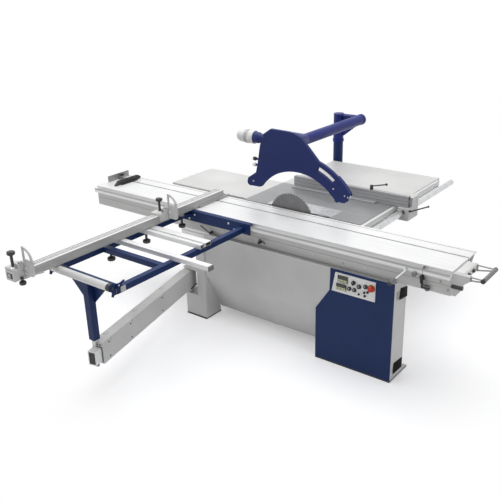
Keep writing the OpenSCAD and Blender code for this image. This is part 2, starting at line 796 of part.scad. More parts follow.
module plain_beam() {
    y0 = out_y0 + 489;
    color(alloy) difference() {
        block([out_x0 + 4, y0, tube_z1], [out_x1 + 297, y0 + 45, table_h - 1]);
        block([out_x0 + 3, y0 + 4, tube_z1 + 4], [out_x1 + 298, y0 + 41, table_h - 5]);
    }
}

module support_roller() {
    x0 = out_x0 + 20;
    x1 = out_x1 - 20;
    color(alloy) {
        bar_along_x(x0 + 1, x1 - 1, roller_y, roller_z, roller_r);
        bar_along_x(x0 - 10, x1 + 10, roller_y, roller_z, 8);
    }
}

// Post that stands on the swing arm's head, with its gusset plate
module outrigger_post() {
    h = post_s / 2;
    gusset_y = post_y + h - 8;
    color(blue) {
        difference() {
            block([post_x - h, post_y - h, post_z0], [post_x + h, post_y + h, tube_z0]);
            block([post_x - h + sheet, post_y - h + sheet, post_z0 + 8], [post_x + h - sheet, post_y + h - sheet, tube_z0 + 1]);
        }
        along_y(gusset_y, gusset_y + 8) polygon([[post_x + h, tube_z0 - 156], [post_x + 175, tube_z0],
            [post_x + h, tube_z0]]);
        along_y(gusset_y, gusset_y + 8) polygon([[post_x - h, tube_z0 - 188], [post_x - 215, tube_z0],
            [post_x - h, tube_z0]]);
    }
}

// Crosscut fence profile with its wear strip and the pivot boss
module crosscut_fence() {
    color(alloy) {
        along_y(fence_y0, fence_y1) difference() {
            translate([fence_x0, fence_z0]) square([fence_w, fence_h]);
            translate([fence_x0 + 5, fence_z0 + 6]) square([fence_w - 10, fence_h - 12]);
            for (i = [0:2])
                translate([fence_x0 + 6 + i * 19, fence_z0 + fence_h - 2]) square([3, 3]);
        }
    }
    color(black) block([fence_x1, fence_y1 - 300, fence_z0], [fence_x1 + 9, fence_y1 + 62, fence_z0 + 12]);
    color(steel) {
        bar_along_z(tube_z1 - 6, fence_z0, fence_mid, fence_pivot_y, pin_r);
        bar_along_z(tube_z1 + 8 + slide_gap, fence_z0, fence_mid, fence_pivot_y, pin_r + 8);
    }
}

// Inner profile and end block that draw out of the fence
module fence_extension() {
    y1 = fence_y0;
    top = fence_z0 + fence_h;
    color(pale) {
        difference() {
            block([fence_x0 - 4, y1 - end_l, fence_z0 + 10], [fence_x1 + 8, y1, top + end_lift]);
            block([fence_x0 + 8, y1 - end_l - 1, fence_z0 + 24], [fence_x1 - 6, y1 - 40, top + end_lift - 14]);
        }
        difference() {
            block([fence_x0 + 6, y1 - 1, fence_z0 + 7], [fence_x1 - 6, y1 + draw_l, top - 7]);
            block([fence_x0 + 9, y1, fence_z0 + 10], [fence_x1 - 9, y1 + draw_l + 1, top - 10]);
        }
    }
}

// Stop block with its clamp screw; cheeks reach down both sides of the fence, or a foot stands on the end block
module stop_block(y, cheeks) {
    top = fence_z0 + fence_h + (cheeks ? 0 : end_lift);
    low = cheeks ? fence_z0 + 14 : top + slide_gap;
    tail = cheeks ? 88 : end_l + 2;
    pin_z = flag_z + (cheeks ? 0 : end_lift);
    color(pale) difference() {
        union() {
            block([fence_x0 - 14, y - tail, low], [fence_x1 + 14, y - 8, top + 14]);
            block([fence_x0 + 16, y - 44, low], [fence_x1 + 14, y - 8, top + 40]);
            block([fence_x0 - 14, y - 12, top + (cheeks ? curve_gap : slide_gap)], [fence_x1 + 14, y + 72, top + 12]);
            if (!cheeks)
                block([fence_x0 - 4, y - tail, top], [fence_x1 + 8, fence_y0, top + 2]);
        }
        if (cheeks)
            block([fence_x0 - curve_gap, y - 89, low - 1], [fence_x1 + curve_gap, y - 7, top + curve_gap]);
        bar_along_y(y - 40, y - 7, flag_x, pin_z, 5 + running);
    }
    color(black) {
        bar_along_z(top + 14, top + 106, fence_x1 - 14, y - 62, 9);
        bar_along_z(top + 106, top + 126, fence_x1 - 14, y - 62, 22);
    }
}

// D-shaped flag that flips over in front of the fence
module stop_flag(y, lift) {
    edge = fence_x1 + 14.5;
    low = fence_z0 + 21 + lift;
    pin_z = flag_z + lift;
    color(pale) {
        bar_along_y(y - 38, y, flag_x, pin_z, 5);
        along_y(y - 7, y + 2) difference() {
            union() {
                translate([flag_x, pin_z]) circle(r = 12);
                translate([edge, low + flag_round]) square([flag_w, flag_h - flag_w - flag_round]);
                translate([edge + flag_round, low]) square([flag_w - 2 * flag_round, flag_round + 1]);
                for (x = [flag_round, flag_w - flag_round])
                    translate([edge + x, low + flag_round]) circle(r = flag_round);
                translate([edge, low + flag_h - flag_w - 1]) intersection() {
                    circle(r = flag_w, $fn = 72);
                    square(flag_w);
                }
                translate([flag_x, pin_z - 12]) square([edge - flag_x + 1, 24]);
            }
            translate([edge + 12, low + flag_h - flag_w + 11]) intersection() {
                circle(r = flag_w - 30);
                square(flag_w);
            }
        }
    }
}

module stop_block_near() {
    stop_block(stop_near_y, true);
}

module stop_flag_near() {
    stop_flag(stop_near_y, 0);
}

module stop_block_far() {
    stop_block(stop_far_y, false);
}

module stop_flag_far() {
    stop_flag(stop_far_y, end_lift);
}

// Clamp knob under the fence's pivot pin
module fence_clamp() {
    top = tube_z1 - 6 - slide_gap;
    color(black) {
        bar_along_z(top - 54, top, fence_mid, fence_pivot_y, 9);
        bar_along_z(top - 76, top - 54, fence_mid, fence_pivot_y, 25);
    }
}

// Box arm that swings about the pin in the leg
module swing_arm() {
    z0 = arm_top - arm_h;
    translate([pivot_x, pivot_y, 0]) rotate([0, 0, arm_angle]) color(pale) {
        difference() {
            union() {
                bar_along_z(leg_box_h + 6, arm_top + 6, 0, 0, pivot_r + 15);
                block([-arm_w / 2 + 14, -70, z0], [arm_w / 2 - 14, 0, arm_top]);
            }
            bar_along_z(leg_box_h, arm_top + 8, 0, 0, pivot_r + running);
        }
        difference() {
            block([-arm_w / 2, -arm_end, z0], [arm_w / 2, -60, arm_top]);
            block([-arm_w / 2 + sheet, -arm_end + 6, z0 + sheet], [arm_w / 2 - sheet, -72, arm_top - sheet]);
            block([-beam_s / 2 - slide_gap, -arm_end - 1, z0 + 20 - slide_gap],
                [beam_s / 2 + slide_gap, -arm_end + 7, z0 + 20 + beam_h2 + slide_gap]);
            block([head_at[0] - head_w - 3, -arm_end - 1, z0 + 20 + beam_h2],
                [head_at[0] + head_w + 3, head_at[1] + head_w + 5, arm_top + 1]);
        }
    }
}

// Inner beam that draws out of the arm, with the head that the outrigger's post stands on
module telescopic_beam() {
    z0 = arm_top - arm_h + 20;
    translate([pivot_x, pivot_y, 0]) rotate([0, 0, arm_angle]) color(alloy) {
        difference() {
            block([-beam_s / 2, -arm_end - 70, z0], [beam_s / 2, -140, z0 + beam_h2]);
            block([-beam_s / 2 + 6, -arm_end - 71, z0 + 6], [beam_s / 2 - 6, -139, z0 + beam_h2 - 6]);
        }
        block([head_at[0] - head_w, head_at[1] - head_w, z0 + beam_h2],
            [head_at[0] + head_w, head_at[1] + head_w, arm_top + 8]);
        bar_along_z(arm_top + 6, post_z0 - slide_gap, head_at[0], head_at[1], 22);
    }
}

// Saddle casting on the round bar, with the upright part that the rip fence is clamped against
module rip_carrier() {
    y0 = rip_y0 - 22;
    y1 = y0 + 168;
    seat = table_h + 1 - slide_gap;
    color(pale) difference() {
        union() {
            block([bar_x - 33, y0, bar_z - 56], [carrier_x1, y1, seat]);
            block([carrier_x0, rip_y0 + rip_fence_t + slide_gap, table_h - 20], [carrier_x1, y1, table_h + 74]);
        }
        bar_along_y(y0 - 1, y1 + 1, bar_x, bar_z, bar_r + running);
        block([bar_x - 34, y0 - 1, bar_z - 31], [bar_x, y1 + 1, bar_z]);
        bar_along_x(carrier_x1 - 12.5, carrier_x1 + 1, lever_y, lever_z, 8 + running);
    }
}

carrier_x1 = bar_x + 55;
lever_y = rip_y0 - 10;
lever_z = bar_z + 22;
rip_fence_x1 = main_right + 124;

// Rip fence profile with its low toe
module rip_fence() {
    x0 = rip_fence_x1 - rip_fence_l;
    z0 = table_h + 1;
    color(alloy) along_x(x0, rip_fence_x1) difference() {
        union() {
            translate([rip_y0, z0]) square([rip_fence_t, rip_fence_h]);
        }
        translate([rip_y0 + 5, z0 + 5]) square([rip_fence_t - 10, rip_fence_h / 2 - 8]);
        translate([rip_y0 + 5, z0 + rip_fence_h / 2 + 2]) square([rip_fence_t - 10, rip_fence_h / 2 - 7]);
        translate([rip_y0 - 1, z0 + 14]) square([4, 4]);
    }
    color(alloy) block([x0 + 4, rip_y0 - 42, z0], [main_right - 134, rip_y0, z0 + 8]);
}

// Lever that clamps the carrier to the bar
module rip_clamp_lever() {
    root = [carrier_x1 + 12, lever_y, lever_z];
    tip = root + [138, 0, 64];
    color(black) {
        bar_along_x(carrier_x1 - 12, carrier_x1 + 16, lever_y, lever_z, 8);
        rod(root, tip, 5);
        translate(tip) sphere(8.5);
    }
}

// Lever that clamps the fence profile on top
module rip_profile_lever() {
    x = main_right - 196;
    y = rip_y0 + rip_fence_t / 2;
    z = table_h + 1 + rip_fence_h;
    color(black) {
        bar_along_z(z + curve_gap, z + 34, x, y, 13);
        rod([x, y, z + 26], [x + 118, y + 16, z + 54], 5);
        translate([x + 118, y + 16, z + 54]) sphere(10);
    }
}

// Sleeve on the post, its gussets and the bent boom tube
module guard_boom() {
    sleeve_r = post_r + 2;
    plate_z0 = collar_z + 60;
    tube_x = boom_far[0];
    color(blue) difference() {
        union() {
            bar_along_z(collar_z + slide_gap, guard_h, mast_x, mast_y, sleeve_r);
            bar_along_z(collar_z + slide_gap, collar_z + 22, mast_x, mast_y, sleeve_r + 5);
            along_y(mast_y - 5, mast_y + 5) polygon([[mast_x, plate_z0], [mast_x + 60, plate_z0],
                [tube_x, boom_far[2] - boom_r + 8], [tube_x, boom_far[2] + boom_r - 8], [mast_x, guard_h - 6]]);
            block([mast_x, mast_y - 34, guard_h - 14], [tube_x, mast_y + 34, guard_h - 6]);
            rod(boom_far, boom_bend, boom_r);
            translate(boom_bend) sphere(boom_r + 1.5);
            rod(boom_bend, hood_joint, boom_r);
            rod(boom_far + [0, 10, 0], boom_far - [0, 14, 0], boom_r + 3);
            bar_along_y(hood_t / 2 + 20, hood_joint[1] + 10, hood_joint[0], hood_joint[2], boom_r - 2);
            block([hood_joint[0] - 44, hood_t / 2 + 6, hood_joint[2] - 120],
                [hood_joint[0] + 44, hood_t / 2 + 24, hood_joint[2] + 50]);
        }
        bar_along_z(collar_z - 1, guard_h - 12 + slide_gap, mast_x, mast_y, mast_neck_r + running);
    }
}

// Side view of the guard hood, without its nose
module hood_outline() {
    edge = [[-286, 131], [-388, 129], [-405, 162], [-396, 190], [-320, 243], [-302, 318], [-277, 461], [-244, 551],
        [-177, 598], [-15, 595], [28, 590], [92, 566], [177, 480], [247, 407], [241, 394], [226, 342], [100, 250]];
    difference() {
        union() {
            polygon([for (p = edge) p + [0, table_h]]);
            translate([-380, table_h + 156]) circle(r = 26);
            translate([arch_x, arch_z]) sector(arch_r - 5, arm_r1, 44, 78);
            translate([arch_x, arch_z]) sector(arm_r1 - 4, strap_r1, 49.5, 74);
        }
        translate([arch_x, arch_z]) circle(r = arch_r, $fn = 96);
        translate([arch_x, arch_z]) sector(arm_r1, strap_r0, 51.5, 69);
    }
}

// Round stub that narrows into the flat hood; the second form, drawn in by the wall, is its bore
module duct_stub(x0, inside, tip_r) {
    translate([0, 0, stub_z]) rotate([0, 90, 0]) rotate_extrude()
        polygon([[0, x0], [stub_r - inside, x0], [stub_r - inside, -290], [tip_r, -195], [0, -195]]);
}

// Flat hollow hood, open at the arch, with the flared duct stub at its back
module hood_shell() {
    wall = 3;
    half = hood_t / 2;
    color(blue) difference() {
        union() {
            along_y(-half, half) hood_outline();
            duct_stub(-370, 0, 6);
            block([hood_joint[0] - 60, half - 1, hood_joint[2] - 130],
                [hood_joint[0] + 60, half + 6 - slide_gap, hood_joint[2] + 40]);
        }
        along_y(-half + wall, half - wall) difference() {
            offset(delta = -wall) hood_outline();
            translate([arch_x, arch_z]) circle(r = arch_r - 1, $fn = 96);
        }
        along_y(-half + wall, half - wall) translate([arch_x, arch_z]) sector(arch_r - 2, arch_r + 4, 48, 140);
        duct_stub(-371, wall, 6 - wall);
    }
    color(alloy) for (z = [table_h + 300, table_h + 347])
        bar_along_x(-340, -290, 0, z, 8);
}

roller_at = [arch_x + 438, arch_z + 301];

// Nose that slides up round the hood's arm
module hood_nose() {
    half = hood_t / 2 + slide_gap;
    out = strap_r1 + 5;
    color(blue) difference() {
        translate([arch_x, 0, arch_z]) {
            for (y = [-half - 4, half])
                along_y(y, y + 4) union() {
                    sector(arch_r + 6, out, 35, 51.5);
                    polygon([[322, 251], [414, 252], [426, 265], [457, 316], [452, 332], [380, 300]]);
                }
            along_y(-half - 4, half + 4) sector(strap_r1 + slide_gap, out, 35.5, 51.5);
        }
        bar_along_y(-half - 5, half + 5, roller_at[0], roller_at[1], 5 + running);
    }
}

// White roller between the nose's cheeks
module hood_roller() {
    half = hood_t / 2;
    color("white") {
        bar_along_y(-half + 1, half - 1, roller_at[0], roller_at[1], 14);
        bar_along_y(-half - 4, half + 4, roller_at[0], roller_at[1], 5);
    }
}

// Rubber hose end with a rounded cap on the duct stub
module hose_end() {
    x1 = -328;
    color(pale) difference() {
        union() {
            bar_along_x(-448, x1, 0, stub_z, stub_r + 5);
            translate([-448, 0, stub_z]) sphere(stub_r + 5);
            bar_along_x(-381, x1, 0, stub_z, stub_r + 8);
        }
        bar_along_x(-370, x1 + 1, 0, stub_z, stub_r);
    }
}

// Tilting frame: two sector plates, two tie bars and the guide rods
module saw_cradle() {
    top_z = table_h - 58;
    low_z = table_h - 630;
    color(steel) {
        for (side = [-1, 1])
            mirror([side < 0 ? 1 : 0, 0, 0]) {
                along_x(sector_x, sector_x + sector_t) union() {
                    translate([0, table_h]) sector(sector_r0, sector_r1, -90, -90 + tilt_max - 3);
                    translate([tie_y, low_z]) square([tie_w, top_z + 24 - low_z]);
                }
                along_x(sector_x + sector_t, sector_x + sector_t + 4 + 8) translate([0, table_h])
                    sector(rib_r0, rib_r1, -89, -90 + tilt_max - 4);
            }
        for (z = [low_z, top_z])
            block([-sector_x, tie_y, z], [sector_x, tie_y + tie_w, z + 24]);
        for (x = [-rod_x, rod_x])
            bar_along_z(low_z + 20, top_z + 4, x, rod_y, rod_r);
    }
}

// Rising plate with its bushes, the arbor housing and the scoring housing
module arbor_carrier() {
    color(grey) difference() {
        union() {
            block([-220, carrier_y, motor_z - 100], [scoring_x + 30, carrier_y + 8, blade_z + 10]);
            for (x = [-rod_x, rod_x], z = [motor_z - 60, blade_z - 70])
                union() {
                    bar_along_z(z, z + 60, x, rod_y, rod_r + 12);
                    block([x - 16, carrier_y + 8, z], [x + 16, rod_y - 10, z + 60]);
                }
            bar_along_y(20, carrier_y + 8, 0, blade_z, 42);
            bar_along_y(20, carrier_y, scoring_x, table_h - scoring_d / 2 + 2, 24);
        }
        bar_along_y(19, carrier_y + 9, 0, blade_z, arbor_d / 2 + running);
        bar_along_y(19, carrier_y + 9, scoring_x, table_h - scoring_d / 2 + 2, 10 + running);
        for (x = [-rod_x, rod_x])
            bar_along_z(motor_z - 120, blade_z + 20, x, rod_y, rod_r + running);
        bar_along_y(carrier_y - 1, carrier_y + 9, 0, motor_z, 30);
    }
}

// Motor bolted to the rising plate
module saw_motor() {
    color(blue) difference() {
        union() {
            bar_along_y(20, carrier_y, 0, motor_z, motor_r);
            for (a = [0:30:330])
                translate([0, 30, motor_z]) rotate([0, a, 0]) block([motor_r - 4, 0, -2], [motor_r + 5, 110, 2]);
        }
        bar_along_y(100, carrier_y + 1, 0, motor_z, 14 + running);
    }
}

module motor_pulley() {
    color(steel) {
        bar_along_y(101, pulley_y, 0, motor_z, 14);
        bar_along_y(pulley_y, pulley_y + pulley_w, 0, motor_z, motor_pulley_r);
    }
}

// Arbor with its flanges, nut and pulley
module arbor_shaft() {
    color(steel) {
        bar_along_y(-24, pulley_y, 0, blade_z, arbor_d / 2);
        bar_along_y(blade_t / 2, 12, 0, blade_z, 38);
        bar_along_y(-11.6, -blade_t / 2, 0, blade_z, 38);
        bar_along_y(-24, -11.6, 0, blade_z, 20);
        bar_along_y(pulley_y, pulley_y + pulley_w, 0, blade_z, arbor_pulley_r);
    }
}

// Toothed disc
module saw_blade() {
    r = blade_d / 2;
    pitch = 360 / teeth;
    outline = [for (i = [0:teeth - 1], p = [[r - 9, 0], [r - 2, 0.42], [r, 0.55], [r - 4, 0.9]])
        p[0] * [cos((i + p[1]) * pitch), sin((i + p[1]) * pitch)]];
    color(steel) translate([0, 0, blade_z]) along_y(-blade_t / 2, blade_t / 2) difference() {
        polygon(outline);
        circle(r = arbor_d / 2 + running);
    }
}

// Flat belt round the two pulleys
module drive_belt() {
    color(black) translate([0, 0, 0]) along_y(pulley_y + 2, pulley_y + pulley_w - 2) difference() {
        hull() {
            translate([0, blade_z]) circle(r = arbor_pulley_r + belt_t, $fn = 32);
            translate([0, motor_z]) circle(r = motor_pulley_r + belt_t, $fn = 32);
        }
        hull() {
            translate([0, blade_z]) circle(r = arbor_pulley_r + 0.5, $fn = 32);
            translate([0, motor_z]) circle(r = motor_pulley_r + 0.5, $fn = 32);
        }
    }
}

// Small toothed disc in front of the main blade, on its own shaft
module scoring_blade() {
    r = scoring_d / 2;
    z = table_h - r + 2;
    pitch = 360 / 24;
    outline = [for (i = [0:23], p = [[r - 5, 0], [r, 0.5], [r - 2, 0.9]])
        p[0] * [cos((i + p[1]) * pitch), sin((i + p[1]) * pitch)]];
    color(steel) {
        translate([scoring_x, 0, z]) along_y(-1.6, 1.6) polygon(outline);
        bar_along_y(1, carrier_y + 20, scoring_x, z, 10);
        bar_along_y(-8, 12, scoring_x, z, 20);
    }
}

machine_frame();
trunnion_supports();
front_panel();
left_leg();
cabinet_shell();
cabinet_front();
control_plate();
guide_beam();
main_table();
table_insert();
outfeed_extension();
rip_extension();
rip_rail();
guide_bar();
guard_post();
emergency_stop();
power_selector();
sliding_table();
end_casting();
push_handle();
edging_shoe();
remote_start();
remote_stop();
lock_rod();
lock_lever();
ball_cage();
outrigger_mount();
side_tube_left();
side_tube_right();
cross_tubes();
slot_beam();
plain_beam();
support_roller();
outrigger_post();
crosscut_fence();
fence_extension();
stop_block_near();
stop_flag_near();
stop_block_far();
stop_flag_far();
fence_clamp();
swing_arm();
telescopic_beam();
rip_carrier();
rip_fence();
rip_clamp_lever();
rip_profile_lever();
guard_boom();
hood_shell();
hood_nose();
hood_roller();
hose_end();
saw_cradle();
arbor_carrier();
saw_motor();
motor_pulley();
arbor_shaft();
saw_blade();
drive_belt();
scoring_blade();
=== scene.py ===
import json
import math

import bpy
from mathutils import Matrix, Vector


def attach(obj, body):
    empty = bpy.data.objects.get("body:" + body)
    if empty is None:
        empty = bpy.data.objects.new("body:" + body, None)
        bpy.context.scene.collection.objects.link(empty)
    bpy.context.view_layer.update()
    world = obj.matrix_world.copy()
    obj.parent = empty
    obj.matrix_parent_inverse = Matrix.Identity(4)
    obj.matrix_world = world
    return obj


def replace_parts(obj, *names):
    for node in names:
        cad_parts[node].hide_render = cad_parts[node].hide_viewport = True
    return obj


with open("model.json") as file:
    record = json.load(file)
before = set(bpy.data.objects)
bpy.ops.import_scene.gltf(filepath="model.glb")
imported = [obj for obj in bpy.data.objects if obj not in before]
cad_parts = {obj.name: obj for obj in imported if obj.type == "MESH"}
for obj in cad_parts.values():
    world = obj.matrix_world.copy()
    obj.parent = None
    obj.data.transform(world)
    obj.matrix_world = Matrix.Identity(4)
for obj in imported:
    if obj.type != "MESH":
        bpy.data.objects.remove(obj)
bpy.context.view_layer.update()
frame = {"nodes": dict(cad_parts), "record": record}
nodes = frame["nodes"]
print("frame loaded:", len(nodes), "nodes")


# selection and camera helpers
def deselectAll():
    if bpy.context.object and bpy.context.object.mode != "OBJECT":
        bpy.ops.object.mode_set(mode="OBJECT")
    bpy.ops.object.select_all(action="DESELECT")


def pointAt(obj, target):
    obj.rotation_euler = (Vector(target) - obj.location).to_track_quat("-Z", "Y").to_euler()


# camera at the photograph's place
cameraView = {"place": (2.844, -4.139, 2.654), "right": (0.7939, 0.6118, -0.0268),
              "forward": (-0.5694, 0.7243, -0.3830), "lens": 50.04}


def makeCamera(s):
    data = bpy.data.cameras.new("camera")
    data.lens = s["lens"]
    data.sensor_width = 36
    data.clip_end = 60
    cam = bpy.data.objects.new("camera", data)
    bpy.context.scene.collection.objects.link(cam)
    f = Vector(s["forward"]).normalized()
    r = Vector(s["right"])
    r = (r - f * r.dot(f)).normalized()
    m = Matrix((r, r.cross(f), -f)).transposed().to_4x4()
    m.translation = Vector(s["place"])
    cam.matrix_world = m
    bpy.context.scene.camera = cam


makeCamera(cameraView)

# world, floor and three soft lamps
studio = {"floor": (0.86, 0.86, 0.87), "lift": 0.30, "nearEdge": 1.2, "farEdge": 2.3,
          "world": (0.97, 0.98, 1.0), "worldPower": 0.36, "floorSize": 60, "floorDrop": 0.0005,
          "lamps": [("topLamp", (-0.6, 0.4, 5.2), (0, 0.1, 0.8), (5, 5), 225),
                    ("frontLamp", (-3.6, -6.0, 3.4), (0, 0, 0.6), (4, 3), 56),
                    ("sideLamp", (6.4, -1.2, 3.4), (0, 0, 0.7), (4, 3), 36)]}


def areaLamp(name, place, target, size, power):
    data = bpy.data.lights.new(name, "AREA")
    data.shape = "RECTANGLE"
    data.size, data.size_y = size
    data.energy = power
    lamp = bpy.data.objects.new(name, data)
    lamp.location = place
    pointAt(lamp, target)
    bpy.context.scene.collection.objects.link(lamp)


# a shader node with its own settings
def addNode(tree, kind, **values):
    node = tree.nodes.new(kind)
    for key, value in values.items():
        setattr(node, key, value)
    return node


# 1 for the rays that reach the camera directly, by a reflection or through glass
def seenRay(tree):
    path = addNode(tree, "ShaderNodeLightPath")
    both = addNode(tree, "ShaderNodeMath", operation="MAXIMUM")
    all3 = addNode(tree, "ShaderNodeMath", operation="MAXIMUM")
    tree.links.new(path.outputs["Is Camera Ray"], both.inputs[0])
    tree.links.new(path.outputs["Is Glossy Ray"], both.inputs[1])
    tree.links.new(both.outputs[0], all3.inputs[0])
    tree.links.new(path.outputs["Is Transmission Ray"], all3.inputs[1])
    return all3


# the world lights the part softly and is white where it is seen
def makeWorld(s):
    scene = bpy.context.scene
    scene.view_settings.view_transform = "Standard"
    world = bpy.data.worlds.new("studio")
    scene.world = world
    world.use_nodes = True
    tree = world.node_tree
    tree.nodes.clear()
    out = addNode(tree, "ShaderNodeOutputWorld")
    mix = addNode(tree, "ShaderNodeMixShader")
    soft = addNode(tree, "ShaderNodeBackground")
    white = addNode(tree, "ShaderNodeBackground")
    soft.inputs["Color"].default_value = (*s["world"], 1)
    soft.inputs["Strength"].default_value = s["worldPower"]
    white.inputs["Color"].default_value = (1, 1, 1, 1)
    tree.links.new(seenRay(tree).outputs[0], mix.inputs[0])
    tree.links.new(soft.outputs[0], mix.inputs[1])
    tree.links.new(white.outputs[0], mix.inputs[2])
    tree.links.new(mix.outputs[0], out.inputs[0])


# a pale floor that takes the part's shadow and fades to white away from it
def makeFloor(s):
    deselectAll()
    bpy.ops.mesh.primitive_plane_add(size=s["floorSize"], location=(0, 0, -s["floorDrop"]))
    floor = bpy.context.object
    floor.name = "studioFloor"
    bpy.ops.object.transform_apply(location=True)
    mat = bpy.data.materials.new("studioFloor")
    mat.use_nodes = True
    tree = mat.node_tree
    tree.nodes.clear()
    out = addNode(tree, "ShaderNodeOutputMaterial")
    plain = addNode(tree, "ShaderNodeBsdfDiffuse")
    plain.inputs["Color"].default_value = (*s["floor"], 1)
    lift = addNode(tree, "ShaderNodeEmission")
    lift.inputs["Strength"].default_value = s["lift"]
    clear = addNode(tree, "ShaderNodeEmission")
    dark = addNode(tree, "ShaderNodeMixShader")
    add = addNode(tree, "ShaderNodeAddShader")
    black = addNode(tree, "ShaderNodeEmission")
    black.inputs["Strength"].default_value = 0
    fade = addNode(tree, "ShaderNodeMixShader")
    ray = seenRay(tree)
    coord = addNode(tree, "ShaderNodeTexCoord")
    length = addNode(tree, "ShaderNodeVectorMath", operation="LENGTH")
    ramp = addNode(tree, "ShaderNodeMapRange", interpolation_type="SMOOTHSTEP")
    ramp.inputs["From Min"].default_value = s["nearEdge"]
    ramp.inputs["From Max"].default_value = s["farEdge"]
    only = addNode(tree, "ShaderNodeMath", operation="MULTIPLY")
    link = tree.links.new
    link(ray.outputs[0], dark.inputs[0])
    link(black.outputs[0], dark.inputs[1])
    link(lift.outputs[0], dark.inputs[2])
    link(plain.outputs[0], add.inputs[0])
    link(dark.outputs[0], add.inputs[1])
    link(coord.outputs["Object"], length.inputs[0])
    link(length.outputs["Value"], ramp.inputs["Value"])
    link(ramp.outputs[0], only.inputs[0])
    link(ray.outputs[0], only.inputs[1])
    link(only.outputs[0], fade.inputs[0])
    link(add.outputs[0], fade.inputs[1])
    link(clear.outputs[0], fade.inputs[2])
    link(fade.outputs[0], out.inputs[0])
    floor.data.materials.append(mat)


makeWorld(studio)
makeFloor(studio)
for name, place, target, size, power in studio["lamps"]:
    areaLamp(name, place, target, size, power)
print("camera and stage ready")


# materials: every one reads Object coordinates
def startMaterial(name, s):
    mat = bpy.data.materials.new(name)
    mat.use_nodes = True
    tree = mat.node_tree
    body = tree.nodes["Principled BSDF"]
    body.inputs["Metallic"].default_value = s.get("metal", 0.0)
    body.inputs["Specular IOR Level"].default_value = s.get("shine", 0.5)
    coord = addNode(tree, "ShaderNodeTexCoord")
    return mat, tree, body, coord


def noiseOn(tree, coord, scale, stretch=(1, 1, 1), detail=3.0):
    place = addNode(tree, "ShaderNodeMapping")
    place.inputs["Scale"].default_value = stretch
    noise = addNode(tree, "ShaderNodeTexNoise")
    noise.inputs["Scale"].default_value = scale
    noise.inputs["Detail"].default_value = detail
    tree.links.new(coord.outputs["Object"], place.inputs["Vector"])
    tree.links.new(place.outputs[0], noise.inputs["Vector"])
    return noise.outputs["Fac"]


def rampTo(tree, fac, low, high, socket, span=(0.35, 0.65)):
    ramp = addNode(tree, "ShaderNodeValToRGB")
    ramp.color_ramp.elements[0].position = span[0]
    ramp.color_ramp.elements[1].position = span[1]
    ramp.color_ramp.elements[0].color = (*low, 1)
    ramp.color_ramp.elements[1].color = (*high, 1)
    tree.links.new(fac, ramp.inputs[0])
    tree.links.new(ramp.outputs[0], socket)


def spread(tree, fac, low, high, socket):
    band = addNode(tree, "ShaderNodeMapRange")
    band.inputs["From Min"].default_value = 0.3
    band.inputs["From Max"].default_value = 0.7
    band.inputs["To Min"].default_value = low
    band.inputs["To Max"].default_value = high
    tree.links.new(fac, band.inputs["Value"])
    tree.links.new(band.outputs[0], socket)


def bumpFrom(tree, fac, body, depth, strength):
    bump = addNode(tree, "ShaderNodeBump")
    bump.inputs["Strength"].default_value = strength
    bump.inputs["Distance"].default_value = depth
    tree.links.new(fac, bump.inputs["Height"])
    tree.links.new(bump.outputs[0], body.inputs["Normal"])


# powder coat: broad cloudiness, orange peel, dull handling marks
def paintFinish(name, s):
    mat, tree, body, coord = startMaterial(name, s)
    cloud = noiseOn(tree, coord, 2.2)
    peel = noiseOn(tree, coord, 420, detail=2.0)
    smear = noiseOn(tree, coord, 7.0, stretch=(1, 1, 2.4))
    c = s["color"]
    rampTo(tree, cloud, [v * 0.93 for v in c], [min(1, v * 1.05) for v in c], body.inputs["Base Color"])
    spread(tree, smear, s["rough"] - 0.06, s["rough"] + 0.09, body.inputs["Roughness"])
    bumpFrom(tree, peel, body, 0.0006, s.get("peel", 0.16))
    return mat


# drawn or ground metal: streaks along one axis
def drawnFinish(name, s):
    mat, tree, body, coord = startMaterial(name, s)
    along = s["along"]
    stretch = tuple(0.6 if i == along else 90.0 for i in range(3))
    streak = noiseOn(tree, coord, 3.0, stretch=stretch, detail=4.0)
    cloud = noiseOn(tree, coord, 3.0)
    c = s["color"]
    rampTo(tree, streak, [v * s.get("low", 0.9) for v in c], [min(1, v * 1.04) for v in c],
           body.inputs["Base Color"])
    spread(tree, cloud, s["rough"] - 0.05, s["rough"] + 0.1, body.inputs["Roughness"])
    bumpFrom(tree, streak, body, 0.0003, 0.12)
    return mat


# turned or cast metal: fine specks in its polish and faint clouds
def turnedFinish(name, s):
    mat, tree, body, coord = startMaterial(name, s)
    fine = noiseOn(tree, coord, 260, detail=4.0)
    cloud = noiseOn(tree, coord, 14)
    c = s["color"]
    rampTo(tree, cloud, [v * 0.86 for v in c], c, body.inputs["Base Color"])
    spread(tree, fine, s["rough"] - 0.06, s["rough"] + 0.12, body.inputs["Roughness"])
    bumpFrom(tree, fine, body, 0.0002, 0.1)
    return mat


# moulded plastic and rubber: fine pebbled grain
def mouldedFinish(name, s):
    mat, tree, body, coord = startMaterial(name, s)
    grain = addNode(tree, "ShaderNodeTexVoronoi")
    grain.inputs["Scale"].default_value = 700
    tree.links.new(coord.outputs["Object"], grain.inputs["Vector"])
    cloud = noiseOn(tree, coord, 20)
    c = s["color"]
    rampTo(tree, cloud, [v * 0.85 for v in c], [min(1, v * 1.1) for v in c], body.inputs["Base Color"])
    spread(tree, cloud, s["rough"] - 0.05, s["rough"] + 0.08, body.inputs["Roughness"])
    bumpFrom(tree, grain.outputs["Distance"], body, 0.0004, s.get("bump", 0.15))
    return mat


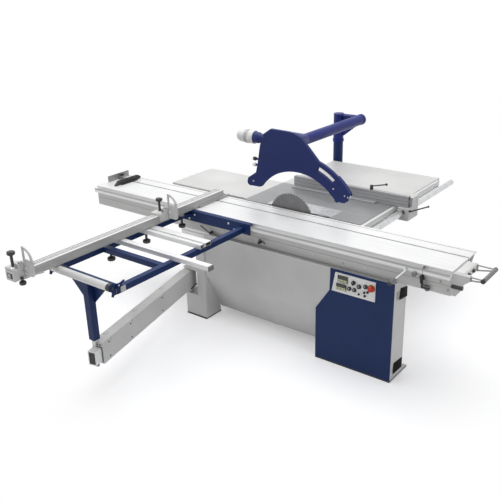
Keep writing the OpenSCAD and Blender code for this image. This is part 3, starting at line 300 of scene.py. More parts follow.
# measuring tape: dark graduations on a pale band
def tapeFinish(name, s):
    mat, tree, body, coord = startMaterial(name, s)
    wave = addNode(tree, "ShaderNodeTexWave", wave_type="BANDS", bands_direction="Y")
    wave.inputs["Scale"].default_value = s["pitch"]
    tree.links.new(coord.outputs["Object"], wave.inputs["Vector"])
    rampTo(tree, wave.outputs["Fac"], (0.05, 0.05, 0.05), s["color"], body.inputs["Base Color"], (0.08, 0.16))
    smear = noiseOn(tree, coord, 30)
    spread(tree, smear, 0.35, 0.5, body.inputs["Roughness"])
    return mat


finishes = {
    "grey_paint": (paintFinish, dict(color=(0.61, 0.605, 0.595), rough=0.42)),
    "blue_paint": (paintFinish, dict(color=(0.006, 0.024, 0.100), rough=0.42, peel=0.22, shine=0.22)),
    # guard boom: a lighter copy of the blue paint, painted light of the tube's lit side
    "boomLitBluePaint": (paintFinish, dict(color=(0.014, 0.022, 0.160), rough=0.40, peel=0.22, shine=0.25)),
    "panel_plate": (drawnFinish, dict(color=(0.80, 0.80, 0.78), rough=0.45, metal=0.1, along=0)),
    "anodised": (drawnFinish, dict(color=(0.80, 0.80, 0.80), rough=0.40, metal=0.35, along=0)),
    "anodisedAcross": (drawnFinish, dict(color=(0.74, 0.74, 0.735), rough=0.40, metal=0.35, along=1)),
    "ground_iron": (drawnFinish, dict(color=(0.32, 0.325, 0.33), rough=0.33, metal=0.5, along=0, low=0.8)),
    "bright_steel": (turnedFinish, dict(color=(0.70, 0.71, 0.72), rough=0.26, metal=0.9)),
    "bladeSteel": (turnedFinish, dict(color=(0.20, 0.20, 0.205), rough=0.5, metal=0.2)),
    "hoodPaint": (paintFinish, dict(color=(0.014, 0.026, 0.125), rough=0.42, peel=0.22, shine=0.22)),
    # sliding table side: a darker copy of the alloy, painted shade
    "tableSidePaintedShade": (drawnFinish, dict(color=(0.55, 0.54, 0.53), rough=0.45, metal=0.2, along=0)),
    "ventBlack": (mouldedFinish, dict(color=(0.008, 0.008, 0.008), rough=0.6, shine=0.1)),
    "fenceFace": (drawnFinish, dict(color=(0.42, 0.42, 0.43), rough=0.42, metal=0.35, along=0)),
    "dark_casting": (paintFinish, dict(color=(0.15, 0.16, 0.17), rough=0.5, peel=0.5)),
    "red_plastic": (mouldedFinish, dict(color=(0.55, 0.02, 0.015), rough=0.3, bump=0.04)),
    "black_plastic": (mouldedFinish, dict(color=(0.022, 0.022, 0.024), rough=0.42)),
    "white_plastic": (mouldedFinish, dict(color=(0.82, 0.82, 0.80), rough=0.4, bump=0.05)),
    "grey_rubber": (mouldedFinish, dict(color=(0.70, 0.70, 0.69), rough=0.55)),
    "black_rubber": (mouldedFinish, dict(color=(0.02, 0.02, 0.02), rough=0.65)),
    # grey plastic: the own colour of plugs, knobs, grips, marks and ribs; laid in the fence, rip fence and
    # table grooves it is painted shade
    "greyPlastic": (mouldedFinish, dict(color=(0.20, 0.20, 0.21), rough=0.45)),
    "tape": (tapeFinish, dict(color=(0.80, 0.80, 0.78), pitch=31.4)),
    "darkGlass": (mouldedFinish, dict(color=(0.012, 0.014, 0.012), rough=0.12, bump=0.0)),
    "displayGrey": (mouldedFinish, dict(color=(0.045, 0.05, 0.04), rough=0.2, bump=0.0)),
    "litSegment": (mouldedFinish, dict(color=(0.72, 0.74, 0.46), rough=0.3, bump=0.0)),
    "paleAlloy": (drawnFinish, dict(color=(0.74, 0.74, 0.73), rough=0.45, metal=0.2, along=1)),
    # crosscut fence sides: a darker copy of the anodised alloy, painted shade
    "fenceSidePaintedShade": (drawnFinish, dict(color=(0.44, 0.44, 0.43), rough=0.45, metal=0.3, along=1)),
    # mid grey: the own tone of the hose clamp and the shoe plate; on the push handle's rods and one side
    # groove it is painted shade
    "midGreyAndShade": (turnedFinish, dict(color=(0.36, 0.36, 0.36), rough=0.4, metal=0.4)),
    # cast grey: the own tone of blocks, clamps, levers and fittings; on a side groove and the ledge groove it
    # is painted shade
    "castGreyAndShade": (paintFinish, dict(color=(0.50, 0.50, 0.49), rough=0.5, peel=0.5)),
    "amberPlastic": (mouldedFinish, dict(color=(0.46, 0.17, 0.02), rough=0.35, bump=0.05)),
}
made = {n: maker(n, s) for n, (maker, s) in finishes.items()}

# profiles that run along Y, and solids whose finish differs from their material's usual one
lengthwiseY = {"crosscut_fence", "fence_extension", "rip_rail", "telescopic_beam"}
# the darker finishes on the crosscut fence's sides and the push handle's rods are painted shade; the lighter
# blue on the guard boom is painted light
faced = {"saw_blade": "bladeSteel", "rip_fence": "fenceFace", "guard_boom": "boomLitBluePaint",
         "crosscut_fence": "fenceSidePaintedShade", "push_handle": "midGreyAndShade", "hood_shell": "hoodPaint",
         "hood_nose": "hoodPaint"}
for part in frame["record"]["subparts"]:
    name, slot = part["node"], part["material_slot"]
    mesh = nodes[name].data
    mesh.materials.clear()
    if name in faced:
        mesh.materials.append(made[faced[name]])
    elif slot == "anodised" and name in lengthwiseY:
        mesh.materials.append(made["anodisedAcross"])
    else:
        mesh.materials.append(made[slot])
print("materials ready:", len(made))


# a second finish on the faces of a CAD node that lie between two corners, in mm
def secondFinish(node, finish, low, high):
    mesh = nodes[node].data
    if made[finish] not in list(mesh.materials):
        mesh.materials.append(made[finish])
    index = list(mesh.materials).index(made[finish])
    for face in mesh.polygons:
        c = face.center * 1000
        if all(low[i] <= c[i] <= high[i] for i in range(3)):
            face.material_index = index


# the last steps of every new piece: its place, edges, normals, finish and body
def settle(obj, name, body, finish, slot=None, bevel=0.0, turn=None, angle=35):
    if turn is not None:
        bpy.context.view_layer.update()
        origin, degrees = turn
        swing = Matrix.Rotation(math.radians(degrees), 4, "Z")
        obj.matrix_world = Matrix.Translation(Vector(origin) / 1000) @ swing @ obj.matrix_world
    deselectAll()
    obj.select_set(True)
    bpy.context.view_layer.objects.active = obj
    bpy.ops.object.transform_apply(location=True, rotation=True, scale=True)
    if bevel:
        mod = obj.modifiers.new("edge", "BEVEL")
        mod.width = bevel / 1000
        mod.segments = 2
        mod.limit_method = "ANGLE"
        mod.angle_limit = math.radians(30)
        bpy.ops.object.modifier_apply(modifier=mod.name)
    bpy.ops.object.mode_set(mode="EDIT")
    bpy.ops.mesh.select_all(action="SELECT")
    bpy.ops.mesh.remove_doubles(threshold=0.00001)
    bpy.ops.mesh.normals_make_consistent(inside=False)
    bpy.ops.object.mode_set(mode="OBJECT")
    bpy.ops.object.shade_smooth_by_angle(angle=math.radians(angle))
    obj.name = name
    obj.data.name = name
    obj.data.materials.clear()
    obj.data.materials.append(made[finish])
    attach(obj, body)
    return obj


# a bevelled block between two corners
def plate(name, low, high, body, finish, bevel=0.8, **more):
    deselectAll()
    size = [(h - l) / 1000 for l, h in zip(low, high)]
    bpy.ops.mesh.primitive_cube_add(size=1, location=[(h + l) / 2000 for l, h in zip(low, high)])
    obj = bpy.context.object
    obj.scale = size
    return settle(obj, name, body, finish, bevel=bevel, **more)


turnAxes = {"x": ("Y", 90), "-x": ("Y", -90), "y": ("X", -90), "-y": ("X", 90), "z": ("Z", 0),
            "-z": ("X", 180)}


# a turned piece: rings of (height, radius) up one axis from a place
def turned(name, at, axis, rings, body, finish, steps=32, bevel=0.0, lobes=0, depth=0.0, **more):
    deselectAll()
    z0, r0 = rings[0]
    bpy.ops.mesh.primitive_circle_add(vertices=steps, radius=r0 / 1000, fill_type="NGON",
                                      location=(0, 0, 0))
    obj = bpy.context.object
    for v in obj.data.vertices:
        if lobes:
            a = math.atan2(v.co.y, v.co.x)
            v.co *= 1 + depth * math.cos(lobes * a)
        v.co.z = z0 / 1000
    bpy.ops.object.mode_set(mode="EDIT")
    bpy.ops.mesh.select_all(action="SELECT")
    for (za, ra), (zb, rb) in zip(rings, rings[1:]):
        bpy.ops.mesh.extrude_region_move(TRANSFORM_OT_translate={"value": (0, 0, (zb - za) / 1000)})
        k = rb / ra
        bpy.ops.transform.resize(value=(k, k, 1))
    bpy.ops.object.mode_set(mode="OBJECT")
    letter, degrees = turnAxes[axis]
    lay = Matrix.Rotation(math.radians(degrees), 4, letter)
    obj.matrix_world = Matrix.Translation(Vector(at) / 1000) @ lay
    return settle(obj, name, body, finish, bevel=bevel, **more)


# a flat shape drawn in the plane across one axis and given thickness along it
def cutSheet(name, points, axis, span, body, finish, bevel=0.6, **more):
    deselectAll()
    bpy.ops.mesh.primitive_circle_add(vertices=len(points), radius=1, fill_type="NGON",
                                      location=(0, 0, 0))
    obj = bpy.context.object
    for v, (a, b) in zip(obj.data.vertices, points):
        place = {"x": (span[0], a, b), "y": (a, span[0], b), "z": (a, b, span[0])}[axis]
        v.co = Vector(place) / 1000
    bpy.ops.object.mode_set(mode="EDIT")
    bpy.ops.mesh.select_all(action="SELECT")
    move = [0.0, 0.0, 0.0]
    move["xyz".index(axis)] = (span[1] - span[0]) / 1000
    bpy.ops.mesh.extrude_region_move(TRANSFORM_OT_translate={"value": move})
    bpy.ops.object.mode_set(mode="OBJECT")
    return settle(obj, name, body, finish, bevel=bevel, **more)


# a bar bent through points
def bentBar(name, points, radius, body, finish, smooth=False, **more):
    deselectAll()
    data = bpy.data.curves.new(name, "CURVE")
    data.dimensions = "3D"
    data.bevel_depth = radius / 1000
    data.bevel_resolution = 4
    data.use_fill_caps = True
    line = data.splines.new("NURBS" if smooth else "POLY")
    line.points.add(len(points) - 1)
    for p, place in zip(line.points, points):
        p.co = (*(Vector(place) / 1000), 1)
    if smooth:
        line.use_endpoint_u = True
        line.order_u = 3
    obj = bpy.data.objects.new(name, data)
    bpy.context.scene.collection.objects.link(obj)
    obj.select_set(True)
    bpy.context.view_layer.objects.active = obj
    bpy.ops.object.convert(target="MESH")
    return settle(bpy.context.object, name, body, finish, **more)


boltShape = {"head": [(0, 1.0), (0.55, 1.0), (0.8, 0.86), (0.8, 0.5), (0.45, 0.46)], "steps": 18}


# a socket screw: rim, chamfer and a sunk socket
def bolt(name, at, axis, radius, body, finish="bright_steel", **more):
    rings = [(h * radius, r * radius) for h, r in boltShape["head"]]
    return turned(name, at, axis, rings, body, finish, steps=boltShape["steps"], **more)


lobedShape = {"steps": 60, "lobes": 6, "depth": 0.055}


# a lobed hand knob; its place is the middle of the face nearest its stem
def handKnob(name, at, axis, radius, height, body, finish="black_plastic", **more):
    rings = [(0, radius * 0.82), (1.5, radius * 0.97), (4, radius * 1.06), (height - 4, radius * 1.06),
             (height - 1, radius * 0.94), (height, radius * 0.6), (height - 0.8, radius * 0.5)]
    return turned(name, at, axis, rings, body, finish, **lobedShape, **more)


def joinAll(name, objs):
    deselectAll()
    for obj in objs:
        obj.select_set(True)
    bpy.context.view_layer.objects.active = objs[0]
    bpy.ops.object.join()
    objs[0].name = name
    objs[0].data.name = name
    return objs[0]


# outrigger: knobs under the cross tube, the slotted beam and the fence, and the bolts of its web
outrigger = {"knobs": [("cross_tubes", -632, -1263, 798, 827.5), ("slot_beam", -632, -923, 814, 867.5)],
             "knobSize": (25.6, 23), "knobGap": 0.4, "headHalf": 30, "headDepth": 40,
             "fenceKnob": (-647, -531, 808), "fenceKnobSize": (25, 22),
             "webY": -449, "webBolts": [(-582, 872), (-638, 835), (-249, 872), (-196, 835)], "webBoltR": 8}


def dressOutrigger(s):
    half = s["headHalf"]
    for i, (node, x, y, z, top) in enumerate(s["knobs"]):
        handKnob(f"beamKnob{i}", (x, y, z + s["knobGap"]), "-z", *s["knobSize"], "outrigger",
                 slot="black_plastic")
        secondFinish(node, "black_plastic", (x - half, y - half, z - s["headDepth"]),
                     (x + half, y + half, top))
    handKnob("fenceClampKnob", s["fenceKnob"], "-z", *s["fenceKnobSize"], "fence_knob",
             slot="black_plastic")
    for i, (x, z) in enumerate(s["webBolts"]):
        bolt(f"webBolt{i}", (x, s["webY"], z), "-y", s["webBoltR"], "outrigger", slot="bright_steel")


dressOutrigger(outrigger)

# fluted sleeve with an end cap and an axle stub at each end
roller = {"centre": (-1708, 874), "sleeve": (-678, -154), "flutes": 16, "r": 24.9, "fluteR": 22.6,
          "capsX": (-702, -130), "cap": [(-26, 24.9), (0, 24.9), (3, 23), (5, 12), (6, 8), (14, 8)]}


def flutedRoller(s):
    y, z = s["centre"]
    steps = s["flutes"] * 6
    points = []
    for i in range(steps):
        a = 2 * math.pi * i / steps
        r = s["r"] if i % 6 < 4 else s["fluteR"]
        points.append((y + r * math.cos(a), z + r * math.sin(a)))
    pieces = [cutSheet("rollerSleeve", points, "x", s["sleeve"], "roller", "paleAlloy", bevel=0.0, angle=20)]
    for i, x in enumerate(s["capsX"]):
        pieces.append(turned(f"rollerCap{i}", (x, y, z), ("-x", "x")[i], s["cap"], "roller", "black_plastic"))
    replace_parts(joinAll("flutedRoller", pieces), "support_roller")


flutedRoller(roller)

# plugs, and dark cells in the open profile ends: painted shade in the hollows
profileEnds = {"slotBeam": (-87, -944, -836), "cells": [(4, 23), (57, 104)], "cellDepth": (-14, -6),
               "cellZ": (872, 895), "plainBeam": (190, -1186, -1141), "plugDepth": (-6, 3),
               "beamZ": (867, 900),
               "tubesX": (-705, -127), "tubeY": -1680, "tubeZ": (833, 863), "boltZ": 880, "tubeHalf": 15}


def fitEnds(s):
    x, y0, y1 = s["slotBeam"]
    z0, z1 = s["beamZ"]
    inner, outer = s["cellDepth"]
    for i, (a, b) in enumerate(s["cells"]):
        # black sheets inside the slot beam's hollows: painted shade
        plate(f"slotBeamHollowShade{i}", (x + inner, y0 + a, s["cellZ"][0]), (x + outer, y0 + b, s["cellZ"][1]),
              "outrigger", "black_plastic", 0.6)
    # the slot beam's open end face drawn black: painted shade
    secondFinish("slot_beam", "black_plastic", (x - 1, y0 - 1, z0), (x + 1, y1 + 1, z1))
    x, y0, y1 = s["plainBeam"]
    inner, outer = s["plugDepth"]
    plate("plainBeamPlug", (x + inner, y0 - 1, z0), (x + outer, y1 + 1, z1), "outrigger", "greyPlastic", 1.6,
          slot="black_plastic")
    y, half = s["tubeY"], s["tubeHalf"]
    z0, z1 = s["tubeZ"]
    for i, x in enumerate(s["tubesX"]):
        bolt(f"endPlateBolt{i}", (x, y, s["boltZ"]), "-y", 6, "outrigger")
        plate(f"tubePlug{i}", (x - half, y - 3, z0), (x + half, y + 0.5, z1), "outrigger", "greyPlastic", 1.5)


fitEnds(profileEnds)

# roller brackets: blue cheeks with horns, a hook over each tube and a pale block beside it
bracket = {"cheek": [(-1676, 822), (-1676, 896), (-1690, 893), (-1700, 906), (-1712, 903), (-1716, 870),
                     (-1712, 846), (-1718, 822), (-1706, 812), (-1694, 824)],
           "hook": [(-1680, 868), (-1680, 896), (-1650, 892), (-1616, 902), (-1612, 894), (-1640, 880),
                    (-1644, 868)],
           "cheeks": [(-714, -708.5), (-123.5, -118)], "hooks": [(-719, -710), (-118, -109)],
           "hookBolt": (-1664, 881), "blocks": [(-730, -725), (-107, -101)], "blockY": (-1656, -1616),
           "blockZ": (830, 868)}


def fitBrackets(s):
    for i, span in enumerate(s["cheeks"]):
        cutSheet(f"rollerHorn{i}", s["cheek"], "x", span, "outrigger", "blue_paint", 1.0, slot="blue_paint")
    for i, span in enumerate(s["hooks"]):
        cutSheet(f"tubeHook{i}", s["hook"], "x", span, "outrigger", "blue_paint", 0.8)
        bolt(f"hookBolt{i}", (span[i], *s["hookBolt"]), ("-x", "x")[i], 5, "outrigger")
    (y0, y1), (z0, z1) = s["blockY"], s["blockZ"]
    for i, (x0, x1) in enumerate(s["blocks"]):
        plate(f"tubeBlock{i}", (x0, y0, z0), (x1, y1, z1), "outrigger", "castGreyAndShade", 1.6)


fitBrackets(bracket)
print("outrigger dressed")

# crosscut fence: lighter top, painted shade in its grooves, tape, screws and clip
fenceTrim = {"x": (-682, -612), "y": (-1964, -68), "top": 962, "grooves": (1, 22, 41), "grooveW": 5,
             "tape": (29, 39), "screwsY": (-1480, -1160, -420), "screwZ": 930, "clipY": (-1204, -1180),
             "clipZ": (934, 956), "clipX": (-12, 0.5)}


def dressFence(s):
    (x0, x1), (y0, y1), top = s["x"], s["y"], s["top"]
    # the fence's top takes the lighter finish here; its sides keep the darker copy, painted shade
    secondFinish("crosscut_fence", "anodisedAcross", (x0 - 1, y0 - 9, top - 0.5), (x1 + 1, y1 + 9, top + 0.5))
    # dark strips over the grooves: painted shade in the recesses
    for i, dx in enumerate(s["grooves"]):
        plate(f"fenceGrooveShade{i}", (x0 + dx, y0, top - 1.6), (x0 + dx + s["grooveW"], y1, top + 0.3), "fence",
              "greyPlastic", 0.2)
    a, b = s["tape"]
    plate("fenceTape", (x0 + a, y0 + 2, top - 0.6), (x0 + b, y1 - 2, top + 0.4), "fence", "tape", 0.2)
    for i, y in enumerate(s["screwsY"]):
        bolt(f"fenceScrew{i}", (x1, y, s["screwZ"]), "x", 4.5, "fence")
    (a, b), (y0, y1), (z0, z1) = s["clipX"], s["clipY"], s["clipZ"]
    plate("fenceClip", (x0 + a, y0, z0), (x0 + b, y1, z1), "fence", "white_plastic", 2.0)


dressFence(fenceTrim)

# stops on the fence: lobed knob with its eye and collar, side clamp and screws; lifts are above the fence
stops = {"each": [("stop_block_near", -712, 0, "near_stop", "near_flag"),
                  ("stop_block_far", -1958, 16, "extension", "far_flag")],
         "top": 962, "right": -612, "knobX": -626, "knobBack": 62, "knobNudge": 1.1, "knobSize": (22.4, 21),
         "stemHalf": 11, "headHalf": 24, "stemLift": 15, "headLift": 100, "reach": 1110,
         "knobLift": 105.6, "eyeLift": 125, "eye": [(0, 12), (2, 12), (1, 10), (0.6, 4)],
         "collarLift": 14, "collar": [(0, 15), (5, 15), (8, 12), (12, 11), (14, 9)],
         "blockScrews": (8, 24), "clampX": (-4, 16), "clampY": (-34, -12), "clampLift": (39.5, 52),
         "flagScrews": [(34, 34), (34, 68)], "flagZ": 904}


def dressStops(s):
    x1 = s["right"]
    for node, y, lift, body, flag in s["each"]:
        kx, ky, z = s["knobX"], y - s["knobBack"], s["top"] + lift
        for half, low in ((s["stemHalf"], s["stemLift"]), (s["headHalf"], s["headLift"])):
            secondFinish(node, "black_plastic", (kx - half, ky - half, z + low),
                         (kx + half, ky + half, s["reach"]))
        handKnob(f"{flag}Knob", (kx, ky + s["knobNudge"], z + s["knobLift"]), "z", *s["knobSize"], body,
                 slot="black_plastic")
        turned(f"{flag}KnobEye", (kx, ky, z + s["eyeLift"]), "z", s["eye"], body, "greyPlastic")
        turned(f"{flag}Collar", (kx, ky, z + s["collarLift"]), "z", s["collar"], body, "bright_steel")
        for j, dz in enumerate(s["blockScrews"]):
            bolt(f"{flag}BlockScrew{j}", (x1 + 14, y - 26, z + dz), "x", 5, body)
        (xa, xb), (ya, yb), (za, zb) = s["clampX"], s["clampY"], s["clampLift"]
        plate(f"{flag}Clamp", (x1 + xa, y + ya, z + za), (x1 + xb, y + yb, z + zb), body, "castGreyAndShade", 1.6)
        for j, (dx, dz) in enumerate(s["flagScrews"]):
            bolt(f"{flag}Screw{j}", (x1 + dx, y - 7, s["flagZ"] + lift + dz), "-y", 7.5, flag,
                 "white_plastic")


dressStops(stops)

# end block of the fence extension: open mouth drawn dark as painted shade round its core, knob below and bent
# lever
endBlock = {"y": -2038, "mouth": (-674, -618, 928, 964), "core": (10, 34, 6), "stem": (-626, -1972, 914.5),
            "stemRings": [(0, 8), (22, 8)], "knob": (-626, -1972, 892.5), "knobSize": (19, 24),
            "boss": (-604, -1990, 926), "bossRings": [(0, 9), (12, 9), (14, 6)], "leverR": 4.5,
            "lever": [(-597, -1990, 926), (-590, -1950, 924), (-566, -1900, 930), (-540, -1872, 936)]}


def dressEndBlock(s):
    y = s["y"]
    x0, x1, z0, z1 = s["mouth"]
    a, b, rim = s["core"]
    # black plate in the open mouth: painted shade
    plate("endBlockMouthShade", (x0, y - 0.6, z0), (x1, y + 3, z1), "extension", "black_plastic", 1.2)
    plate("endBlockCore", (x0 + a, y - 1.2, z0 + rim), (x0 + b, y + 1, z1 - rim), "extension",
          "castGreyAndShade", 1.0)
    turned("endKnobStem", s["stem"], "-z", s["stemRings"], "extension", "black_plastic")
    handKnob("endBlockKnob", s["knob"], "-z", *s["knobSize"], "extension", slot="black_plastic")
    turned("endLeverBoss", s["boss"], "x", s["bossRings"], "extension", "black_plastic")
    bentBar("endBlockLever", s["lever"], s["leverR"], "extension", "castGreyAndShade", smooth=True)


dressEndBlock(endBlock)
print("crosscut fence dressed")

# sliding table: slot lips, top and side lines, side bolts, knobs, levers and fittings; painted shade in its
# slot, grooves and ledge groove and on its side face
slidingTrim = {"x": (-1742, 1454), "side": -410, "slotY": -154, "lips": (-8.4, 6.4), "lipW": 2,
               "slotHalf": 11, "slotShadeZ": (872.4, 873.6), "backGrooveShadeY": (-51, -45), "band": (-63, -53),
               "lines": [(799.5, 4.0, "midGreyAndShade"), (756, 1.6, "castGreyAndShade")],
               "boltStart": 210, "boltPitch": 400, "bolts": 8, "boltZ": 776,
               "highKnob": (1227, -409, 840),
               "highRings": [(0, 9), (30, 9), (31, 16), (42, 17), (48, 14), (50, 8)],
               "lowKnob": (1308, -409, 753),
               "lowRings": [(0, 9), (7, 9), (8, 17), (18, 18), (23, 15), (25, 8)],
               "levers": [("carriage", [(16, -438, 770), (20, -440, 800), (34, -442, 804), (78, -444, 780)]),
                          ("table_lock_lever", [(1268, -438, 824), (1269, -442, 790), (1278, -442, 782),
                                                (1318, -442, 780)]),
                          ("carriage", [(-450, -438, 746), (-480, -440, 764), (-510, -442, 778),
                                        (-538, -442, 792)])],
               "bossY": -411, "boss": [(0, 10), (28, 10), (31, 6)], "leverR": 4.4,
               "fittings": [(1386, 815, 7), (1421, 850, 6), (1436, 770, 8), (700, 770, 6)],
               "joint": ((1276, -441, 846), (1279, -409.5, 897)), "ledgeShadowY": (-440.6, -439.6),
               "ledgeShadowZ": (872.2, 886)}


def dressSliding(s):
    (x0, x1), side, slot = s["x"], s["side"], s["slotY"]
    for i, dy in enumerate(s["lips"]):
        plate(f"slotLip{i}", (x0, slot + dy, 899.2), (x1, slot + dy + s["lipW"], 900.25), "carriage",
              "bright_steel", 0.2)
    # black floor in the table's slot: painted shade in the recess
    half, (z0, z1) = s["slotHalf"], s["slotShadeZ"]
    plate("slotShadeFloor", (x0 + 2, slot - half, z0), (x1 - 2, slot + half, z1), "carriage", "black_rubber", 0.2)
    # dark strip in the groove behind the slot: painted shade
    y0, y1 = s["backGrooveShadeY"]
    plate("tableGrooveShade", (x0, y0, 899.4), (x1, y1, 900.2), "carriage", "greyPlastic", 0.2)
    y0, y1 = s["band"]
    plate("tableBand", (x0, y0, 899.4), (x1, y1, 900.15), "carriage", "panel_plate", 0.2)
    # dark strips laid in the side grooves: painted shade in the recesses
    for i, (z, h, finish) in enumerate(s["lines"]):
        plate(f"sideGrooveShade{i}", (x0, side - 0.3, z - h / 2), (x1, side + 0.8, z + h / 2), "carriage",
              finish, 0.2)
    for i in range(s["bolts"]):
        x = x0 + s["boltStart"] + i * s["boltPitch"]
        bolt(f"sideBolt{i}", (x, side, s["boltZ"]), "-y", 5.5, "carriage")
    for name, place, rings in (("tableKnobHigh", s["highKnob"], s["highRings"]),
                               ("tableKnobLow", s["lowKnob"], s["lowRings"])):
        turned(name, place, "-y", rings, "carriage", "greyPlastic", slot="black_plastic")
    for i, (body, path) in enumerate(s["levers"]):
        x, _, z = path[0]
        turned(f"sideLeverBoss{i}", (x, s["bossY"], z), "-y", s["boss"], body, "black_plastic")
        bentBar(f"sideLever{i}", path, s["leverR"], body, "black_plastic", smooth=True)
    for i, (x, z, r) in enumerate(s["fittings"]):
        bolt(f"sideFitting{i}", (x, side, z), "-y", r, "carriage", "castGreyAndShade")
    plate("railJoint", *s["joint"], "carriage", "greyPlastic", 0.3)
    # grey band in the groove between the table top and the ledge: painted shadow
    (y0, y1), (z0, z1) = s["ledgeShadowY"], s["ledgeShadowZ"]
    plate("ledgeGrooveShadow", (x0, y0, z0), (x1, y1, z1), "carriage", "castGreyAndShade", 0.2)
    # the table's side face gets the darker alloy copy, painted shade; the top keeps the lighter finish
    secondFinish("sliding_table", "tableSidePaintedShade", (-1760, -411, 730), (1460, -409, 870))


dressSliding(slidingTrim)

# lock rod: grey grip, black end and a ball on it
lockRod = {"grip": ((1060, -520, 740), (1128, -470, 812)), "end": ((1060, -520, 740), (1106, -484, 776)),
           "ball": (1089.5, -498.2, 757.6),
           "ballRings": [(-14, 4), (-12, 8.5), (-7, 13), (0, 14.6), (7, 13), (12, 8.5), (14, 4)]}
secondFinish("lock_rod", "greyPlastic", *lockRod["grip"])
secondFinish("lock_rod", "black_plastic", *lockRod["end"])
turned("lockBall", lockRod["ball"], "z", lockRod["ballRings"], "table_lock_rod", "black_plastic", angle=80)

# end casting: ribbed top, switch box face, button rings and caps, handle screws, grips
endTrim = {"x": 1456, "faceX": 72, "topX": (12, 63), "topY": (-380, -190), "topZ": (889.6, 891.6),
           "ribs": 12, "ribY": -376, "ribPitch": 15.6, "ribX": (14, 61), "ribZ": (891, 892.4), "ribW": 8,
           "switchY": (-374, -212), "switchZ": (856, 888), "switchX": (-1, 0.8), "buttonZ": 872,
           "buttons": [(-340, "start_remote"), (-266, "stop_remote")],
           "ring": [(0, 14), (1, 14), (1.4, 12.6), (0.6, 11.6)],
           "cap": [(0, 11.2), (6, 11.2), (8.6, 9), (9, 5)],
           "flanges": [(77, -196, 865, 2), (111, -392, 872, 1)],
           "grip": [(1636.9, -181, 874), (1636.9, -393, 874)], "gripR": 15,
           "gripRings": 5, "ringPitch": 12, "ringAt": (-408, 804), "ringX": (16, 20), "ringR": 13.8}


def dressEnd(s):
    x = s["x"]
    f = x + s["faceX"]
    (x0, x1), (y0, y1), (z0, z1) = s["topX"], s["topY"], s["topZ"]
    plate("endTopPlate", (x + x0, y0, z0), (x + x1, y1, z1), "carriage", "paleAlloy", 0.6)
    (x0, x1), (z0, z1) = s["ribX"], s["ribZ"]
    for i in range(s["ribs"]):
        y = s["ribY"] + i * s["ribPitch"]
        plate(f"endTopRib{i}", (x + x0, y, z0), (x + x1, y + s["ribW"], z1), "carriage", "paleAlloy", 0.5)
    (x0, x1), (y0, y1), (z0, z1) = s["switchX"], s["switchY"], s["switchZ"]
    plate("switchFace", (f + x0, y0, z0), (f + x1, y1, z1), "carriage", "paleAlloy", 1.2)
    for i, (y, body) in enumerate(s["buttons"]):
        turned(f"buttonRing{i}", (f + 0.2, y, s["buttonZ"]), "x", s["ring"], "carriage", "black_plastic")
        turned(f"buttonCap{i}", (f + 5, y, s["buttonZ"]), "x", s["cap"], body, "black_plastic",
               slot="black_plastic")
    for i, (dx, y, z, gap) in enumerate(s["flanges"]):
        for j, dz in enumerate((-8, 8)):
            bolt(f"handleScrew{i}{j}", (x + dx, y, z + dz * gap), "x", 3, "carriage")
    for i, (p, q) in enumerate((s["grip"], s["grip"][::-1])):
        way = (Vector(p) - Vector(q)).normalized()
        bentBar(f"gripCap{i}", [Vector(p) - way * 12, Vector(p) + way * 3], s["gripR"], "carriage",
                "black_plastic", slot="black_plastic", bevel=2.0)
    a, b = s["ringX"]
    for i in range(s["gripRings"]):
        dx = x + i * s["ringPitch"]
        bentBar(f"gripRing{i}", [(dx + a, *s["ringAt"]), (dx + b, *s["ringAt"])], s["ringR"], "carriage",
                "black_plastic", bevel=0.8)
    secondFinish("push_handle", "greyPlastic", (1623, -400, 859), (1653, -176, 889))
    secondFinish("end_casting", "black_plastic", (1457, -425, 789), (1530, -409.5, 819))


dressEnd(endTrim)

# edging shoe: dark grey plate, black knob and ribs
shoe = {"plate": ((-1740, -300, 860), (-1680, -40, 960)), "knob": (-1704, -154, 933.6), "knobSize": (19, 20),
        "ribs": 7, "ribX": -1609, "ribPitch": 4, "ribW": 1.6, "ribY": (-298, -78), "ribZ": (905, 935.4)}


def dressShoe(s):
    secondFinish("edging_shoe", "midGreyAndShade", *s["plate"])
    handKnob("shoeKnob", s["knob"], "z", *s["knobSize"], "shoe", slot="black_plastic")
    (y0, y1), (z0, z1) = s["ribY"], s["ribZ"]
    for i in range(s["ribs"]):
        x = s["ribX"] + i * s["ribPitch"]
        plate(f"shoeRib{i}", (x, y0, z0), (x + s["ribW"], y1, z1), "shoe", "black_plastic", 0.4)


dressShoe(shoe)
print("sliding table dressed")

# control plate: displays, caps, screws, selector mark and the stop button; places are on the plate
panel = {"x": 642, "z": 567, "y": -456, "displays": [(50, 84, 128, 136), (40, 29, 118, 74)], "digits": 6,
         "digitX": 10, "digitPitch": 11.5, "digitW": 5.5,
         "caps": [(140, 55, 13), (178, 54, 13), (212, 88, 14), (260, 100, 14), (212, 33, 5), (252, 56, 6),
                  (276, 64, 6), (256, 32, 6)],
         "screws": [(14, 14), (322, 14), (38, 140), (322, 138)],
         "mark": ((811.8, -478, 677), (814.2, -477.2, 686)),
         "stop": (946, 667), "stopRing": [(0, 26), (2, 26), (3.4, 24), (3.4, 12), (1, 11.8)],
         "stopHead": [(0, 8), (14, 8), (15, 17), (17, 20), (22, 20), (27, 17.5), (30, 11), (30.6, 5)]}


